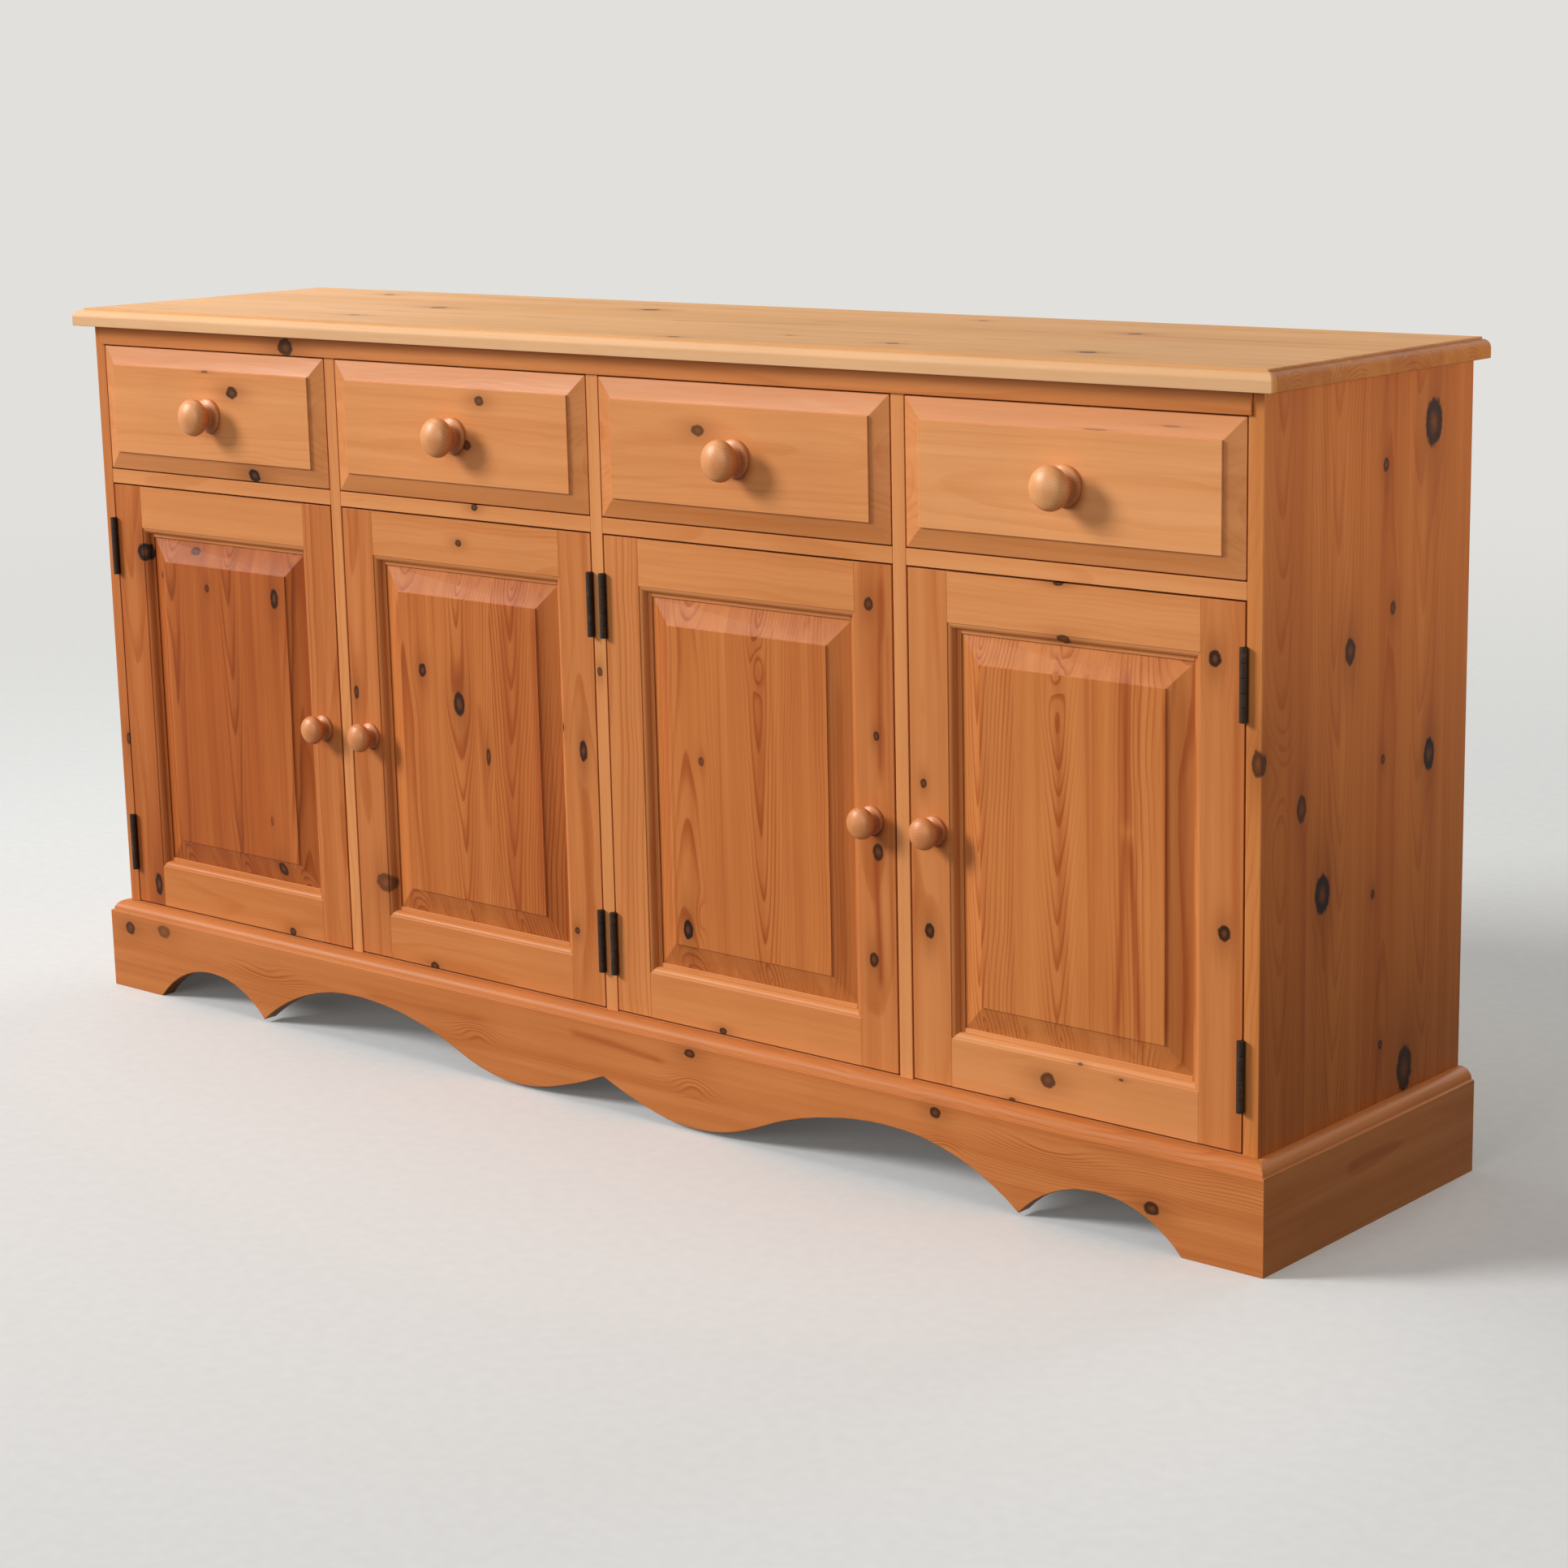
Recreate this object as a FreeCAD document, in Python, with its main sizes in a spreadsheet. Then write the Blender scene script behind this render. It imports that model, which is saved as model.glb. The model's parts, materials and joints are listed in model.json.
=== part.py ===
import FreeCAD, Part
import math
import os
import re

import Sketcher
from FreeCAD import Vector

# A pine dresser base: four drawers over four panelled doors, in millimetres.
# X runs along the front, Y from front to back and Z up. The origin is on the floor under the middle
# of the whole object, knobs included.

doc = FreeCAD.newDocument("dresser_base")
sheet = doc.addObject("Spreadsheet::Sheet", "sheet")

# Driving dimensions.
SIZES = {
    # Carcass.
    "carcass_width": 1790,
    "carcass_depth": 398,
    "carcass_height": 886,
    "board": 18,
    "housing": 5,
    "projection": 20,
    # Top board and its thumb moulding.
    "top_thickness": 22,
    "top_step": 2.5,
    "top_ledge": 1.5,
    "top_round": 9,
    # Back boards, tongued together in a rebate.
    "back_thickness": 9,
    "back_rebate": 10,
    "back_count": 18,
    "tongue_width": 5,
    "tongue_thickness": 3,
    # Rails of the front.
    "top_rail_height": 24,
    "top_rail_depth": 40,
    "top_rail_proud": 3,
    "drawer_rail_height": 18,
    "drawer_rail_depth": 45,
    "drawer_opening": 162,
    "tenon_length": 7,
    "tenon_height": 9,
    "tenon_depth": 30,
    # Drawer runners, kickers, shelves and door catches.
    "runner_width": 20,
    "shelf_depth": 325,
    "shelf_height": 391,
    "shelf_play": 0.5,
    "batten_height": 22,
    "batten_length": 300,
    "catch_length": 40,
    "catch_depth": 14,
    "catch_height": 12,
    "catch_gap": 0.6,
    # Plinth, its moulding and the scallops of its front.
    "plinth_height": 117,
    "mould_ledge": 4,
    "mould_round": 13,
    "mould_bead": 1.5,
    "point_height": 40,
    "lobe_start": 84,
    "lobe_start_height": 11.5,
    "lobe_end": 242,
    "lobe_end_height": 25,
    "arch_peak": 430,
    "arch_height": 65,
    "cusp": 609,
    "cusp_height": 3,
    "foot": 816,
    "point_radius": 600,
    "lobe_radius": 241,
    "ogee_radius": 460,
    "arch_radius": 286,
    "foot_radius": 139,
    "block_length": 60,
    "block_side": 30,
    # Doors.
    "door_gap": 2,
    "door_thickness": 22,
    "stile": 64,
    "rail": 66,
    "sticking": 12,
    "sticking_quirk": 1,
    "sticking_round": 7.5,
    "groove_start": 10.5,
    "groove_width": 6,
    "groove_depth": 10,
    "panel_play": 1,
    "panel_bevel": 29,
    "panel_shoulder": 1.5,
    # Drawers.
    "drawer_gap": 1.5,
    "front_thickness": 20,
    "front_bevel": 23,
    "front_slope": 6,
    "front_shoulder": 2.5,
    "drawer_side": 12,
    "drawer_side_gap": 3,
    "drawer_side_height": 156,
    "drawer_lift": 0.5,
    "drawer_back_gap": 1,
    "drawer_back_set": 20,
    "drawer_bottom": 6,
    "drawer_bottom_height": 10,
    "drawer_groove": 6,
    "tail_count": 4,
    "tail_width": 26,
    "tail_flare": 2,
    "tail_length": 12,
    # Turned knobs.
    "drawer_knob_reach": 40,
    "drawer_knob_head": 23.5,
    "drawer_knob_base": 21.5,
    "drawer_knob_neck": 13,
    "drawer_spigot": 8,
    "drawer_spigot_length": 18,
    "door_knob_reach": 30,
    "door_knob_head": 17.75,
    "door_knob_base": 16,
    "door_knob_neck": 9.5,
    "door_spigot": 6,
    "door_spigot_length": 16,
    "spigot_play": 0.05,
    "door_knob_inset": 32,
    # A knob's outline: depths and radii as shares of its reach, crown and heel as shares of its head.
    "knob_dome_radius": 1.05,
    "knob_crown": 0.8,
    "knob_crown_depth": 0.86,
    "knob_cheek_radius": 0.52,
    "knob_widest_depth": 0.64,
    "knob_under_radius": 0.46,
    "knob_heel": 0.84,
    "knob_heel_depth": 0.46,
    "knob_neck_depth": 0.37,
    "knob_hollow_radius": 0.17,
    "knob_hollow_depth": 0.15,
    "knob_hollow_spread": 0.06,
    "knob_collar_depth": 0.12,
    "knob_collar_radius": 0.09,
    "knob_collar_lip": 0.05,
    # Butt hinges.
    "hinge_length": 75,
    "hinge_inset": 81,
    "leaf_thickness": 1.6,
    "leaf_width": 20,
    "leaf_play": 0.4,
    "knuckle": 4,
    "knuckle_count": 5,
    "knuckle_play": 0.4,
    "pin": 2,
    "pin_play": 0.05,
    "screw_head": 3.4,
    "screw_shank": 1.7,
    "screw_sink": 1.4,
    "screw_length": 9,
    "screw_play": 0.1,
    "screw_pitch": 25,
    "screw_depth": 12,
}

# Places and sizes that follow from the driving dimensions.
DERIVED = {
    "half": "carcass_width / 2",
    "front": "(front_slope + front_shoulder + drawer_knob_reach - carcass_depth) / 2",
    "back": "front + carcass_depth",
    "back_inside": "back - back_thickness",
    "inside_depth": "carcass_depth - back_thickness",
    "inner_half": "half - board",
    "outer_half": "half + projection",
    "pitch": "(carcass_width - board) / 4",
    "opening": "pitch - board",
    "rail_top": "carcass_height - top_rail_height",
    "drawer_floor": "rail_top - drawer_opening",
    "door_ceiling": "drawer_floor - drawer_rail_height",
    "door_width": "opening - 2 * door_gap",
    "door_bottom": "plinth_height + door_gap",
    "door_top": "door_ceiling - door_gap",
    "door_height": "door_top - door_bottom",
    "panel_tongue": "groove_depth - panel_play",
    "field": "front - front_slope - front_shoulder",
    "drawer_low": "drawer_floor + drawer_lift",
    "drawer_high": "drawer_low + drawer_side_height",
    "box_width": "opening - 2 * drawer_side_gap",
    "drawer_end": "back_inside - drawer_back_gap",
    "hinge_line": "front - knuckle - knuckle_play",
    "leaf_recess": "leaf_thickness + leaf_play / 2 - door_gap / 2",
    "back_width": "(2 * (inner_half + back_rebate) - tongue_width) / back_count",
}
BAYS = (0, 1, 2, 3)
LEFT_HUNG_BAYS = (0, 2)
ENDS = ("left", "right")
nodes = {}

for row, (alias, size) in enumerate(SIZES.items(), start=1):
    sheet.set(f"A{row}", alias)
    sheet.set(f"B{row}", str(size))
    sheet.setAlias(f"B{row}", alias)
doc.recompute()


def formula(text):
    """The text with each derived name written out and each driving dimension made a cell reference."""

    def spelled(word):
        if word[0] in DERIVED:
            return f"({formula(DERIVED[word[0]])})"
        return f"sheet.{word[0]}" if word[0] in SIZES else word[0]

    return re.sub(r"[a-z][a-z_]*", spelled, str(text))


def value(text):
    """What a formula comes to."""
    return float(sheet.evalExpression(formula(text)))


def bind(thing, **formulas):
    for name, text in formulas.items():
        thing.setExpression(name, formula(text))
    return thing


def place(thing, spot):
    for axis, text in zip("xyz", spot):
        thing.setExpression(f"Placement.Base.{axis}", formula(text))
    return thing


def block(low, size, name="block"):
    """A rectangular piece of wood or metal, from its lowest corner and its sizes along X, Y and Z."""
    piece = doc.addObject("Part::Box", name)
    bind(piece, Length=size[0], Width=size[1], Height=size[2])
    return place(piece, low)


def taper(near, far, name="taper"):
    """A block that widens or narrows along Y. Each end is (y, low x, high x, low z, high z)."""
    piece = doc.addObject("Part::Wedge", name)
    bind(piece, Ymin=near[0], Xmin=near[1], Xmax=near[2], Zmin=near[3], Zmax=near[4])
    return bind(piece, Ymax=far[0], X2min=far[1], X2max=far[2], Z2min=far[3], Z2max=far[4])


def rod(spot, radius, length, along=(0, 0, 1), name="rod"):
    """A round bar from spot, in the direction along."""
    piece = doc.addObject("Part::Cylinder", name)
    piece.Placement.Rotation = FreeCAD.Rotation(Vector(0, 0, 1), Vector(*along))
    bind(piece, Radius=radius, Height=length)
    return place(piece, spot)


def cone(spot, radius, end_radius, length, along, name="cone"):
    piece = doc.addObject("Part::Cone", name)
    piece.Placement.Rotation = FreeCAD.Rotation(Vector(0, 0, 1), Vector(*along))
    bind(piece, Radius1=radius, Radius2=end_radius, Height=length)
    return place(piece, spot)


def group(pieces, name="group"):
    """Separate solids kept side by side."""
    together = doc.addObject("Part::Compound", name)
    together.Links = pieces
    return together


def joined(pieces, name="joined"):
    """One solid from pieces that meet."""
    whole = doc.addObject("Part::MultiFuse", name)
    whole.Shapes = pieces
    whole.Refine = True
    return whole


def shared(pieces, name="shared"):
    """What all the pieces have in common."""
    common = doc.addObject("Part::MultiCommon", name)
    common.Shapes = pieces
    common.Refine = True
    return common


def without(piece, waste, name="without"):
    """The piece with the waste cut away."""
    rest = doc.addObject("Part::Cut", name)
    rest.Base = piece
    rest.Tool = waste[0] if len(waste) == 1 else group(waste, "waste")
    return rest


def node(name, thing):
    """Marks a finished sub-part."""
    thing.Label = name
    nodes[name] = thing
    return thing


def arc_between(start, end, radius):
    """The short arc from start to end, and whether it runs from start to end the way arcs are stored.
    A positive radius bends to the left on the way, and a negative one to the right."""
    chord = end - start
    rise = math.sqrt(radius * radius - chord.Length * chord.Length / 4)
    side = Vector(-chord.y, chord.x, 0).normalize() * math.copysign(rise, radius)
    centre = start + chord * 0.5 + side
    first, last = (start, end) if radius > 0 else (end, start)
    angles = [math.atan2(p.y - centre.y, p.x - centre.x) for p in (first, last)]
    circle = Part.Circle(centre, Vector(0, 0, 1), abs(radius))
    return Part.ArcOfCircle(circle, *angles), radius > 0


def outline(body, plane, corners):
    """A closed sketch on one of the body's planes. A corner is (across, up), and a third entry is the
    radius of the arc to the next corner, which is otherwise a straight line."""
    sketch = body.newObject("Sketcher::SketchObject", "outline")
    support = next(f for f in body.Origin.OriginFeatures if f.Role == plane)
    sketch.AttachmentSupport = [(support, "")]
    sketch.MapMode = "FlatFace"
    spots = [Vector(value(corner[0]), value(corner[1]), 0) for corner in corners]
    starts, ends = [], []
    for i, corner in enumerate(corners):
        reach = spots[i], spots[(i + 1) % len(spots)]
        if len(corner) == 2:
            edge, forward = Part.LineSegment(*reach), True
        else:
            edge, forward = arc_between(*reach, value(corner[2]))
        sketch.addGeometry(edge)
        starts.append(1 if forward else 2)
        ends.append(2 if forward else 1)
    for i, corner in enumerate(corners):
        follower = (i + 1) % len(corners)
        sketch.addConstraint(Sketcher.Constraint("Coincident", i, ends[i], follower, starts[follower]))
        distances = (("DistanceX", corner[0], spots[i].x), ("DistanceY", corner[1], spots[i].y))
        for kind, text, spot in distances:
            held = sketch.addConstraint(Sketcher.Constraint(kind, -1, 1, i, starts[i], spot))
            sketch.setExpression(f"Constraints[{held}]", formula(text))
        if len(corner) == 3:
            held = sketch.addConstraint(Sketcher.Constraint("Radius", i, abs(value(corner[2]))))
            sketch.setExpression(f"Constraints[{held}]", formula(f"abs({corner[2]})"))
    return sketch


def mirrored(corners):
    """The mirror image of half an outline, in the order that carries the outline on."""
    walked = []
    for i in reversed(range(len(corners))):
        across, up = corners[i][:2]
        arc = corners[i - 1][2:] if i > 0 else ()
        walked.append((f"-({across})", up, *arc))
    return walked


def run(plane, corners, length, spot, name, centred=False):
    """A section run straight for a length, away from the sketch plane or to both sides of it."""
    body = doc.addObject("PartDesign::Body", name)
    pad = body.newObject("PartDesign::Pad", "pad")
    pad.Profile = outline(body, plane, corners)
    pad.Midplane = centred
    bind(pad, Length=length)
    body.Tip = pad
    return place(body, spot)


def turned(corners, spot, name):
    """A piece turned on a lathe about its own Y axis."""
    body = doc.addObject("PartDesign::Body", name)
    turn = body.newObject("PartDesign::Revolution", "turn")
    turn.Profile = outline(body, "XY_Plane", corners)
    turn.ReferenceAxis = (next(f for f in body.Origin.OriginFeatures if f.Role == "Y_Axis"), [""])
    turn.Angle = 360
    body.Tip = turn
    return place(body, spot)


def bay_left(bay):
    """Where the opening of a bay starts, counted from the left."""
    return f"(-inner_half + {bay} * pitch)"


def hinge_lows():
    """The lower ends of a door's two hinges."""
    return (
        "door_bottom + hinge_inset - hinge_length / 2",
        "door_top - hinge_inset - hinge_length / 2",
    )


def hinge_axis(bay):
    """The pin's place across the front, in the middle of the gap on the door's hung side."""
    if bay in LEFT_HUNG_BAYS:
        return f"({bay_left(bay)} + door_gap / 2)"
    return f"({bay_left(bay)} + opening - door_gap / 2)"


def frame_way(bay):
    """The direction from the pin to the frame: -1 where the door hangs on the left."""
    return -1 if bay in LEFT_HUNG_BAYS else 1


def slab(inner, outer, way):
    """The low edge of what lies between two distances from a line, on one side of it."""
    return f"- ({outer})" if way < 0 else f"+ ({inner})"


def leaf_recesses(bay, way):
    """The two shallow pockets that a door's hinge leaves lie in, on the frame or on the door."""
    size = ("leaf_recess", "leaf_width", "hinge_length")
    x = f"{hinge_axis(bay)} {slab('door_gap / 2', 'door_gap / 2 + leaf_recess', way)}"
    return [block((x, "front", low), size, "recess") for low in hinge_lows()]


def drawer_rail_mortise(x):
    low = "door_ceiling + (drawer_rail_height - tenon_height) / 2"
    y = "front + (drawer_rail_depth - tenon_depth) / 2"
    return block((x, y, low), ("tenon_length", "tenon_depth", "tenon_height"), "mortise")


def side_panel(end):
    """A solid end of the carcass, from the floor to the top, cut for all that it carries."""
    way = -1 if end == "left" else 1
    bay = BAYS[0] if end == "left" else BAYS[-1]

    def inset(depth):
        """Where a cut of that depth into the inner face starts."""
        return f"-inner_half - {depth}" if end == "left" else "inner_half"

    panel = block(
        ("-half" if end == "left" else "inner_half", "front", 0),
        ("board", "carcass_depth", "carcass_height"),
    )
    cuts = [
        block((inset("housing"), "front", "plinth_height - board"), ("housing", "inside_depth", "board")),
        block(
            (inset("back_rebate"), "back_inside", "plinth_height - board"),
            ("back_rebate", "back_thickness", "carcass_height - plinth_height + board"),
        ),
        block(
            (inset("housing"), "front", "rail_top"),
            ("housing", "top_rail_depth - top_rail_proud", "top_rail_height"),
        ),
        drawer_rail_mortise(inset("tenon_length")),
    ]
    return without(panel, cuts + leaf_recesses(bay, way))


def partition(number):
    """An upright between two bays, notched over the top rail and stood in the bottom board."""
    x = f"({bay_left(number)} - board)"
    upright = block(
        (x, "front", "plinth_height - housing"),
        ("board", "inside_depth", "carcass_height - plinth_height + housing"),
    )
    cuts = [
        block((x, "front", "rail_top"), ("board", "top_rail_depth - top_rail_proud", "top_rail_height")),
        drawer_rail_mortise(x),
        drawer_rail_mortise(f"{x} + board - tenon_length"),
    ]
    if number in LEFT_HUNG_BAYS:
        cuts += leaf_recesses(number - 1, 1) + leaf_recesses(number, -1)
    return without(upright, cuts)


def bottom_board():
    floor = block(
        ("-inner_half - housing", "front", "plinth_height - board"),
        ("2 * (inner_half + housing)", "inside_depth", "board"),
    )
    grooves = [
        block(
            (f"{bay_left(number)} - board", "front", "plinth_height - housing"),
            ("board", "inside_depth", "housing"),
        )
        for number in BAYS[1:]
    ]
    return without(floor, grooves)


def back_boards():
    """Upright boards side by side, each with a tongue in the groove of the next."""
    low = "plinth_height - board"
    tall = f"carcass_height - ({low})"
    tongue_front = "back_inside + (back_thickness - tongue_thickness) / 2"
    tongue = ("tongue_width", "tongue_thickness", tall)
    boards = []
    for number in range(SIZES["back_count"]):
        x = f"(-inner_half - back_rebate + {number} * back_width)"
        board = block((x, "back_inside", low), ("back_width", "back_thickness", tall))
        board = joined([board, block((f"{x} + back_width", tongue_front, low), tongue)])
        if number > 0:
            board = without(board, [block((x, tongue_front, low), tongue)])
        boards.append(board)
    return group(boards)


def top_edge(edge, way):
    """The thumb moulding's corners from the underside to the upper face, at an edge facing way."""
    radius = "top_round" if way > 0 else "-top_round"
    low = "top_thickness - top_step"
    step = "top_ledge + top_round"
    return [
        (f"{edge}", "0"),
        (f"{edge}", f"{low} - top_round", radius),
        (f"{edge} - {way} * top_round", low),
        (f"{edge} - {way} * ({step})", low),
        (f"{edge} - {way} * ({step})", "top_thickness"),
    ]


def top_board():
    """The moulding's section run along the front and across both ends, where they cross."""
    along = [*top_edge("-carcass_depth - projection", -1), ("0", "top_thickness"), ("0", "0")]
    end = top_edge("outer_half", 1)
    across = [*end, *mirrored(end)]
    spot = ("0", "back", "carcass_height")
    long_run = run("YZ_Plane", along, "2 * outer_half", spot, "top_length", centred=True)
    cross_run = run("XZ_Plane", across, "carcass_depth + projection", spot, "top_width")
    return shared([long_run, cross_run])


def plinth_edge(face, way):
    """The plinth's section from the floor up its outer face and over its moulding."""
    radius = "mould_round" if way > 0 else "-mould_round"
    bead = "mould_bead" if way > 0 else "-mould_bead"
    quirk = "plinth_height - mould_round"
    return [
        (f"{face}", "0"),
        (f"{face}", f"{quirk} - mould_bead", bead),
        (f"{face} - {way} * mould_bead", quirk),
        (f"{face} - {way} * (projection - mould_ledge - mould_round)", quirk, radius),
        (f"{face} - {way} * (projection - mould_ledge)", "plinth_height"),
    ]


def plinth_mitre():
    """The wedge between the two mitred corners, which the front board fills."""
    low, high = "-board", "plinth_height + board"
    return taper(
        ("front - projection", "-outer_half", "outer_half", low, high),
        ("front", "-half", "half", low, high),
        "mitre",
    )


def plinth_front():
    """A board sawn to lobes and arches along the floor, moulded along its top and mitred at its ends."""
    right_half = [
        ("0", "point_height", "point_radius"),
        ("lobe_start", "lobe_start_height", "lobe_radius"),
        ("lobe_end", "lobe_end_height", "-ogee_radius"),
        ("arch_peak", "arch_height", "-arch_radius"),
        ("cusp", "cusp_height", "-foot_radius"),
        ("foot", "0"),
        ("outer_half", "0"),
        ("outer_half", "plinth_height"),
    ]
    corners = [*right_half, *mirrored(right_half)[:-1]]
    sawn = run("XZ_Plane", corners, "projection", ("0", "front", "0"), "plinth_outline")
    section = [*plinth_edge("-projection", -1), ("0", "plinth_height"), ("0", "0")]
    length = "2 * outer_half"
    moulded = run("YZ_Plane", section, length, ("0", "front", "0"), "plinth_moulding", centred=True)
    return shared([sawn, moulded, plinth_mitre()])


def plinth_side(end):
    way = -1 if end == "left" else 1
    section = [*plinth_edge(f"{way} * outer_half", way)]
    section += [(f"{way} * half", "plinth_height"), (f"{way} * half", "0")]
    length = "carcass_depth + projection"
    board = run("XZ_Plane", section, length, ("0", "back", "0"), f"plinth_{end}_run")
    return without(board, [plinth_mitre()])


def plinth_blocks():
    """Glue blocks in the corner between the plinth front and the bottom board."""
    low = "plinth_height - board - block_side"
    places = ("lobe_start + block_length / 2", "cusp", "half - board - block_length / 2")
    centres = [f"{sign} * ({x})" for x in places for sign in (-1, 1)]
    size = ("block_length", "block_side", "block_side")
    return group([block((f"{x} - block_length / 2", "front", low), size) for x in centres])


def drawer_rails():
    """A rail in each bay, with a stub tenon at each end."""
    rails = []
    for bay in BAYS:
        rail = block(
            (bay_left(bay), "front", "door_ceiling"),
            ("opening", "drawer_rail_depth", "drawer_rail_height"),
        )
        tenons = block(
            (
                f"{bay_left(bay)} - tenon_length",
                "front + (drawer_rail_depth - tenon_depth) / 2",
                "door_ceiling + (drawer_rail_height - tenon_height) / 2",
            ),
            ("opening + 2 * tenon_length", "tenon_depth", "tenon_height"),
        )
        rails.append(joined([rail, tenons]))
    return group(rails)


def strips(y, low, size):
    """A strip along each side of each bay."""
    places = [bay_left(bay) for bay in BAYS]
    places += [f"{bay_left(bay)} + opening - {size[0]}" for bay in BAYS]
    return group([block((x, y, low), size) for x in places])


def door_catches():
    """A catch under each drawer rail, near the door's free edge."""
    catches = []
    for bay in BAYS:
        inset = "opening - stile - catch_length" if bay in LEFT_HUNG_BAYS else "stile"
        low = (
            f"{bay_left(bay)} + {inset}",
            "front + door_thickness + catch_gap",
            "door_ceiling - catch_height",
        )
        catches.append(block(low, ("catch_length", "catch_depth", "catch_height")))
    return group(catches)


def leaf(bay, way, low, own):
    """One leaf of a hinge, with its own knuckles, on the frame's or the door's side of the pin."""
    axis = hinge_axis(bay)
    tall = "hinge_length / knuckle_count"
    plate_x = f"{axis} {slab('leaf_play / 2', 'leaf_play / 2 + leaf_thickness', way)}"
    wall = "(knuckle + pin) / 2"
    pieces = [block((plate_x, "front", low), ("leaf_thickness", "leaf_width", "hinge_length"))]
    for number in own:
        foot = f"{low} + {number} * {tall}"
        neck = ("leaf_thickness", f"front + leaf_thickness - hinge_line - {wall}", tall)
        pieces.append(block((plate_x, f"hinge_line + {wall}", foot), neck))
        pieces.append(rod((axis, "hinge_line", foot), "knuckle", tall))
    bore = rod((axis, "hinge_line", low), "pin + pin_play", "hinge_length")
    sinks = []
    for spot in screw_spots(bay, way, low):
        sinks += screw_shape(spot, way, "screw_play")
    return without(joined(pieces), [bore, *sinks])


def screw_spots(bay, way, low):
    """The middles of a leaf's screw heads, on its open face."""
    face = f"{hinge_axis(bay)} + {way} * leaf_play / 2"
    depth = "front + screw_depth"
    middle = f"{low} + hinge_length / 2"
    return [(face, depth, f"{middle} + {step} * screw_pitch") for step in (-1, 0, 1)]


def screw_shape(spot, way, play):
    """A countersunk head and its shank, driven along X, with some play all round."""
    head = cone(spot, f"screw_head + {play}", f"screw_shank + {play}", "screw_sink", (way, 0, 0))
    return [head, rod(spot, f"screw_shank + {play}", "screw_length", (way, 0, 0))]


def screws(bay, way):
    return [
        joined(screw_shape(spot, way, 0))
        for low in hinge_lows()
        for spot in screw_spots(bay, way, low)
    ]


def frame_knuckles():
    return range(0, SIZES["knuckle_count"], 2)


def door_knuckles():
    return range(1, SIZES["knuckle_count"], 2)


def frame_section(edge, width, way, bend):
    """The section that stiles and rails share, as (distance, depth) pairs and an arc's radius: a square
    outer edge, and an ovolo and a panel groove along the inner one."""
    inner = f"{edge} + {way} * {width}"
    quirk = f"{inner} - {way} * sticking"
    groove = f"{inner} - {way} * groove_depth"
    ovolo_end = "sticking_quirk + sticking_round"
    groove_end = "groove_start + groove_width"
    return [
        (edge, "front + door_thickness"),
        (edge, "front"),
        (quirk, "front"),
        (quirk, "front + sticking_quirk", bend),
        (f"{quirk} + {way} * sticking_round", f"front + {ovolo_end}"),
        (inner, f"front + {ovolo_end}"),
        (inner, "front + groove_start"),
        (groove, "front + groove_start"),
        (groove, f"front + {groove_end}"),
        (inner, f"front + {groove_end}"),
        (inner, "front + door_thickness"),
    ]


def stile_section(edge, way):
    """A stile's section, seen from above."""
    return frame_section(edge, "stile", way, "sticking_round" if way > 0 else "-sticking_round")


def rail_section(edge, way):
    """A rail's section, seen from the end."""
    section = frame_section(edge, "rail", way, "-sticking_round" if way > 0 else "sticking_round")
    return [(depth, up, *arc) for up, depth, *arc in section]


def door(bay):
    """A framed door: two stiles, two rails coped over them, a fielded panel, a knob and hinge leaves."""
    name = f"door_{bay + 1}"
    left = f"({bay_left(bay)} + door_gap)"
    right = f"({left} + door_width)"
    hung_left = bay in LEFT_HUNG_BAYS
    away = 1 if hung_left else -1
    lock_edge = right if hung_left else left
    knob_x = f"{lock_edge} - {away} * door_knob_inset"
    knob_z = "(door_bottom + door_top) / 2"

    spot = ("0", "0", "door_bottom")
    stiles = {
        1: run("XY_Plane", stile_section(left, 1), "door_height", spot, "stile"),
        -1: run("XY_Plane", stile_section(right, -1), "door_height", spot, "stile"),
    }
    rail_run = "door_width - 2 * (stile - sticking)"
    rail_spot = (f"{left} + stile - sticking", "0", "0")
    rails = [
        run("YZ_Plane", rail_section("door_bottom", 1), rail_run, rail_spot, "rail"),
        run("YZ_Plane", rail_section("door_top", -1), rail_run, rail_spot, "rail"),
    ]
    coped = [without(rail, [group(list(stiles.values()))]) for rail in rails]

    knob_hole = rod((knob_x, "front", knob_z), "door_spigot + spigot_play", "door_spigot_length", (0, 1, 0))
    finished = [
        without(stiles[away], leaf_recesses(bay, away)),
        without(stiles[-away], [knob_hole]),
    ]
    node(f"{name}_stiles", group(finished))
    node(f"{name}_rails", group(coped))
    node(f"{name}_panel", door_panel(left, right))
    knob = turned(knob_section("door_"), (knob_x, "front", knob_z), "knob")
    node(f"{name}_knob", knob)
    leaves = [leaf(bay, away, low, door_knuckles()) for low in hinge_lows()]
    node(f"{name}_hinge_leaves", group(leaves))
    node(f"{name}_hinge_screws", group(screws(bay, away)))


def door_panel(left, right):
    """A panel whose bevelled border runs down to a tongue in the frame's grooves."""
    tongue_x = f"{left} + stile - panel_tongue"
    tongue_z = "door_bottom + rail - panel_tongue"
    tongue = block(
        (tongue_x, "front + groove_start", tongue_z),
        (
            "door_width - 2 * (stile - panel_tongue)",
            "groove_width",
            "door_height - 2 * (rail - panel_tongue)",
        ),
    )

    def ring(y, inset):
        """The panel's outline at a depth, set in from the edge of the frame's opening."""
        return (
            y,
            f"{left} + stile + {inset}",
            f"{right} - stile - ({inset})",
            f"door_bottom + rail + {inset}",
            f"door_top - rail - ({inset})",
        )

    shoulder = ring("front + panel_shoulder", "panel_bevel")
    bevel = taper(shoulder, ring("front + groove_start", "panel_play"), "bevel")
    fielded = taper(ring("front", "panel_bevel"), shoulder, "field")
    return joined([tongue, bevel, fielded])


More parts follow.
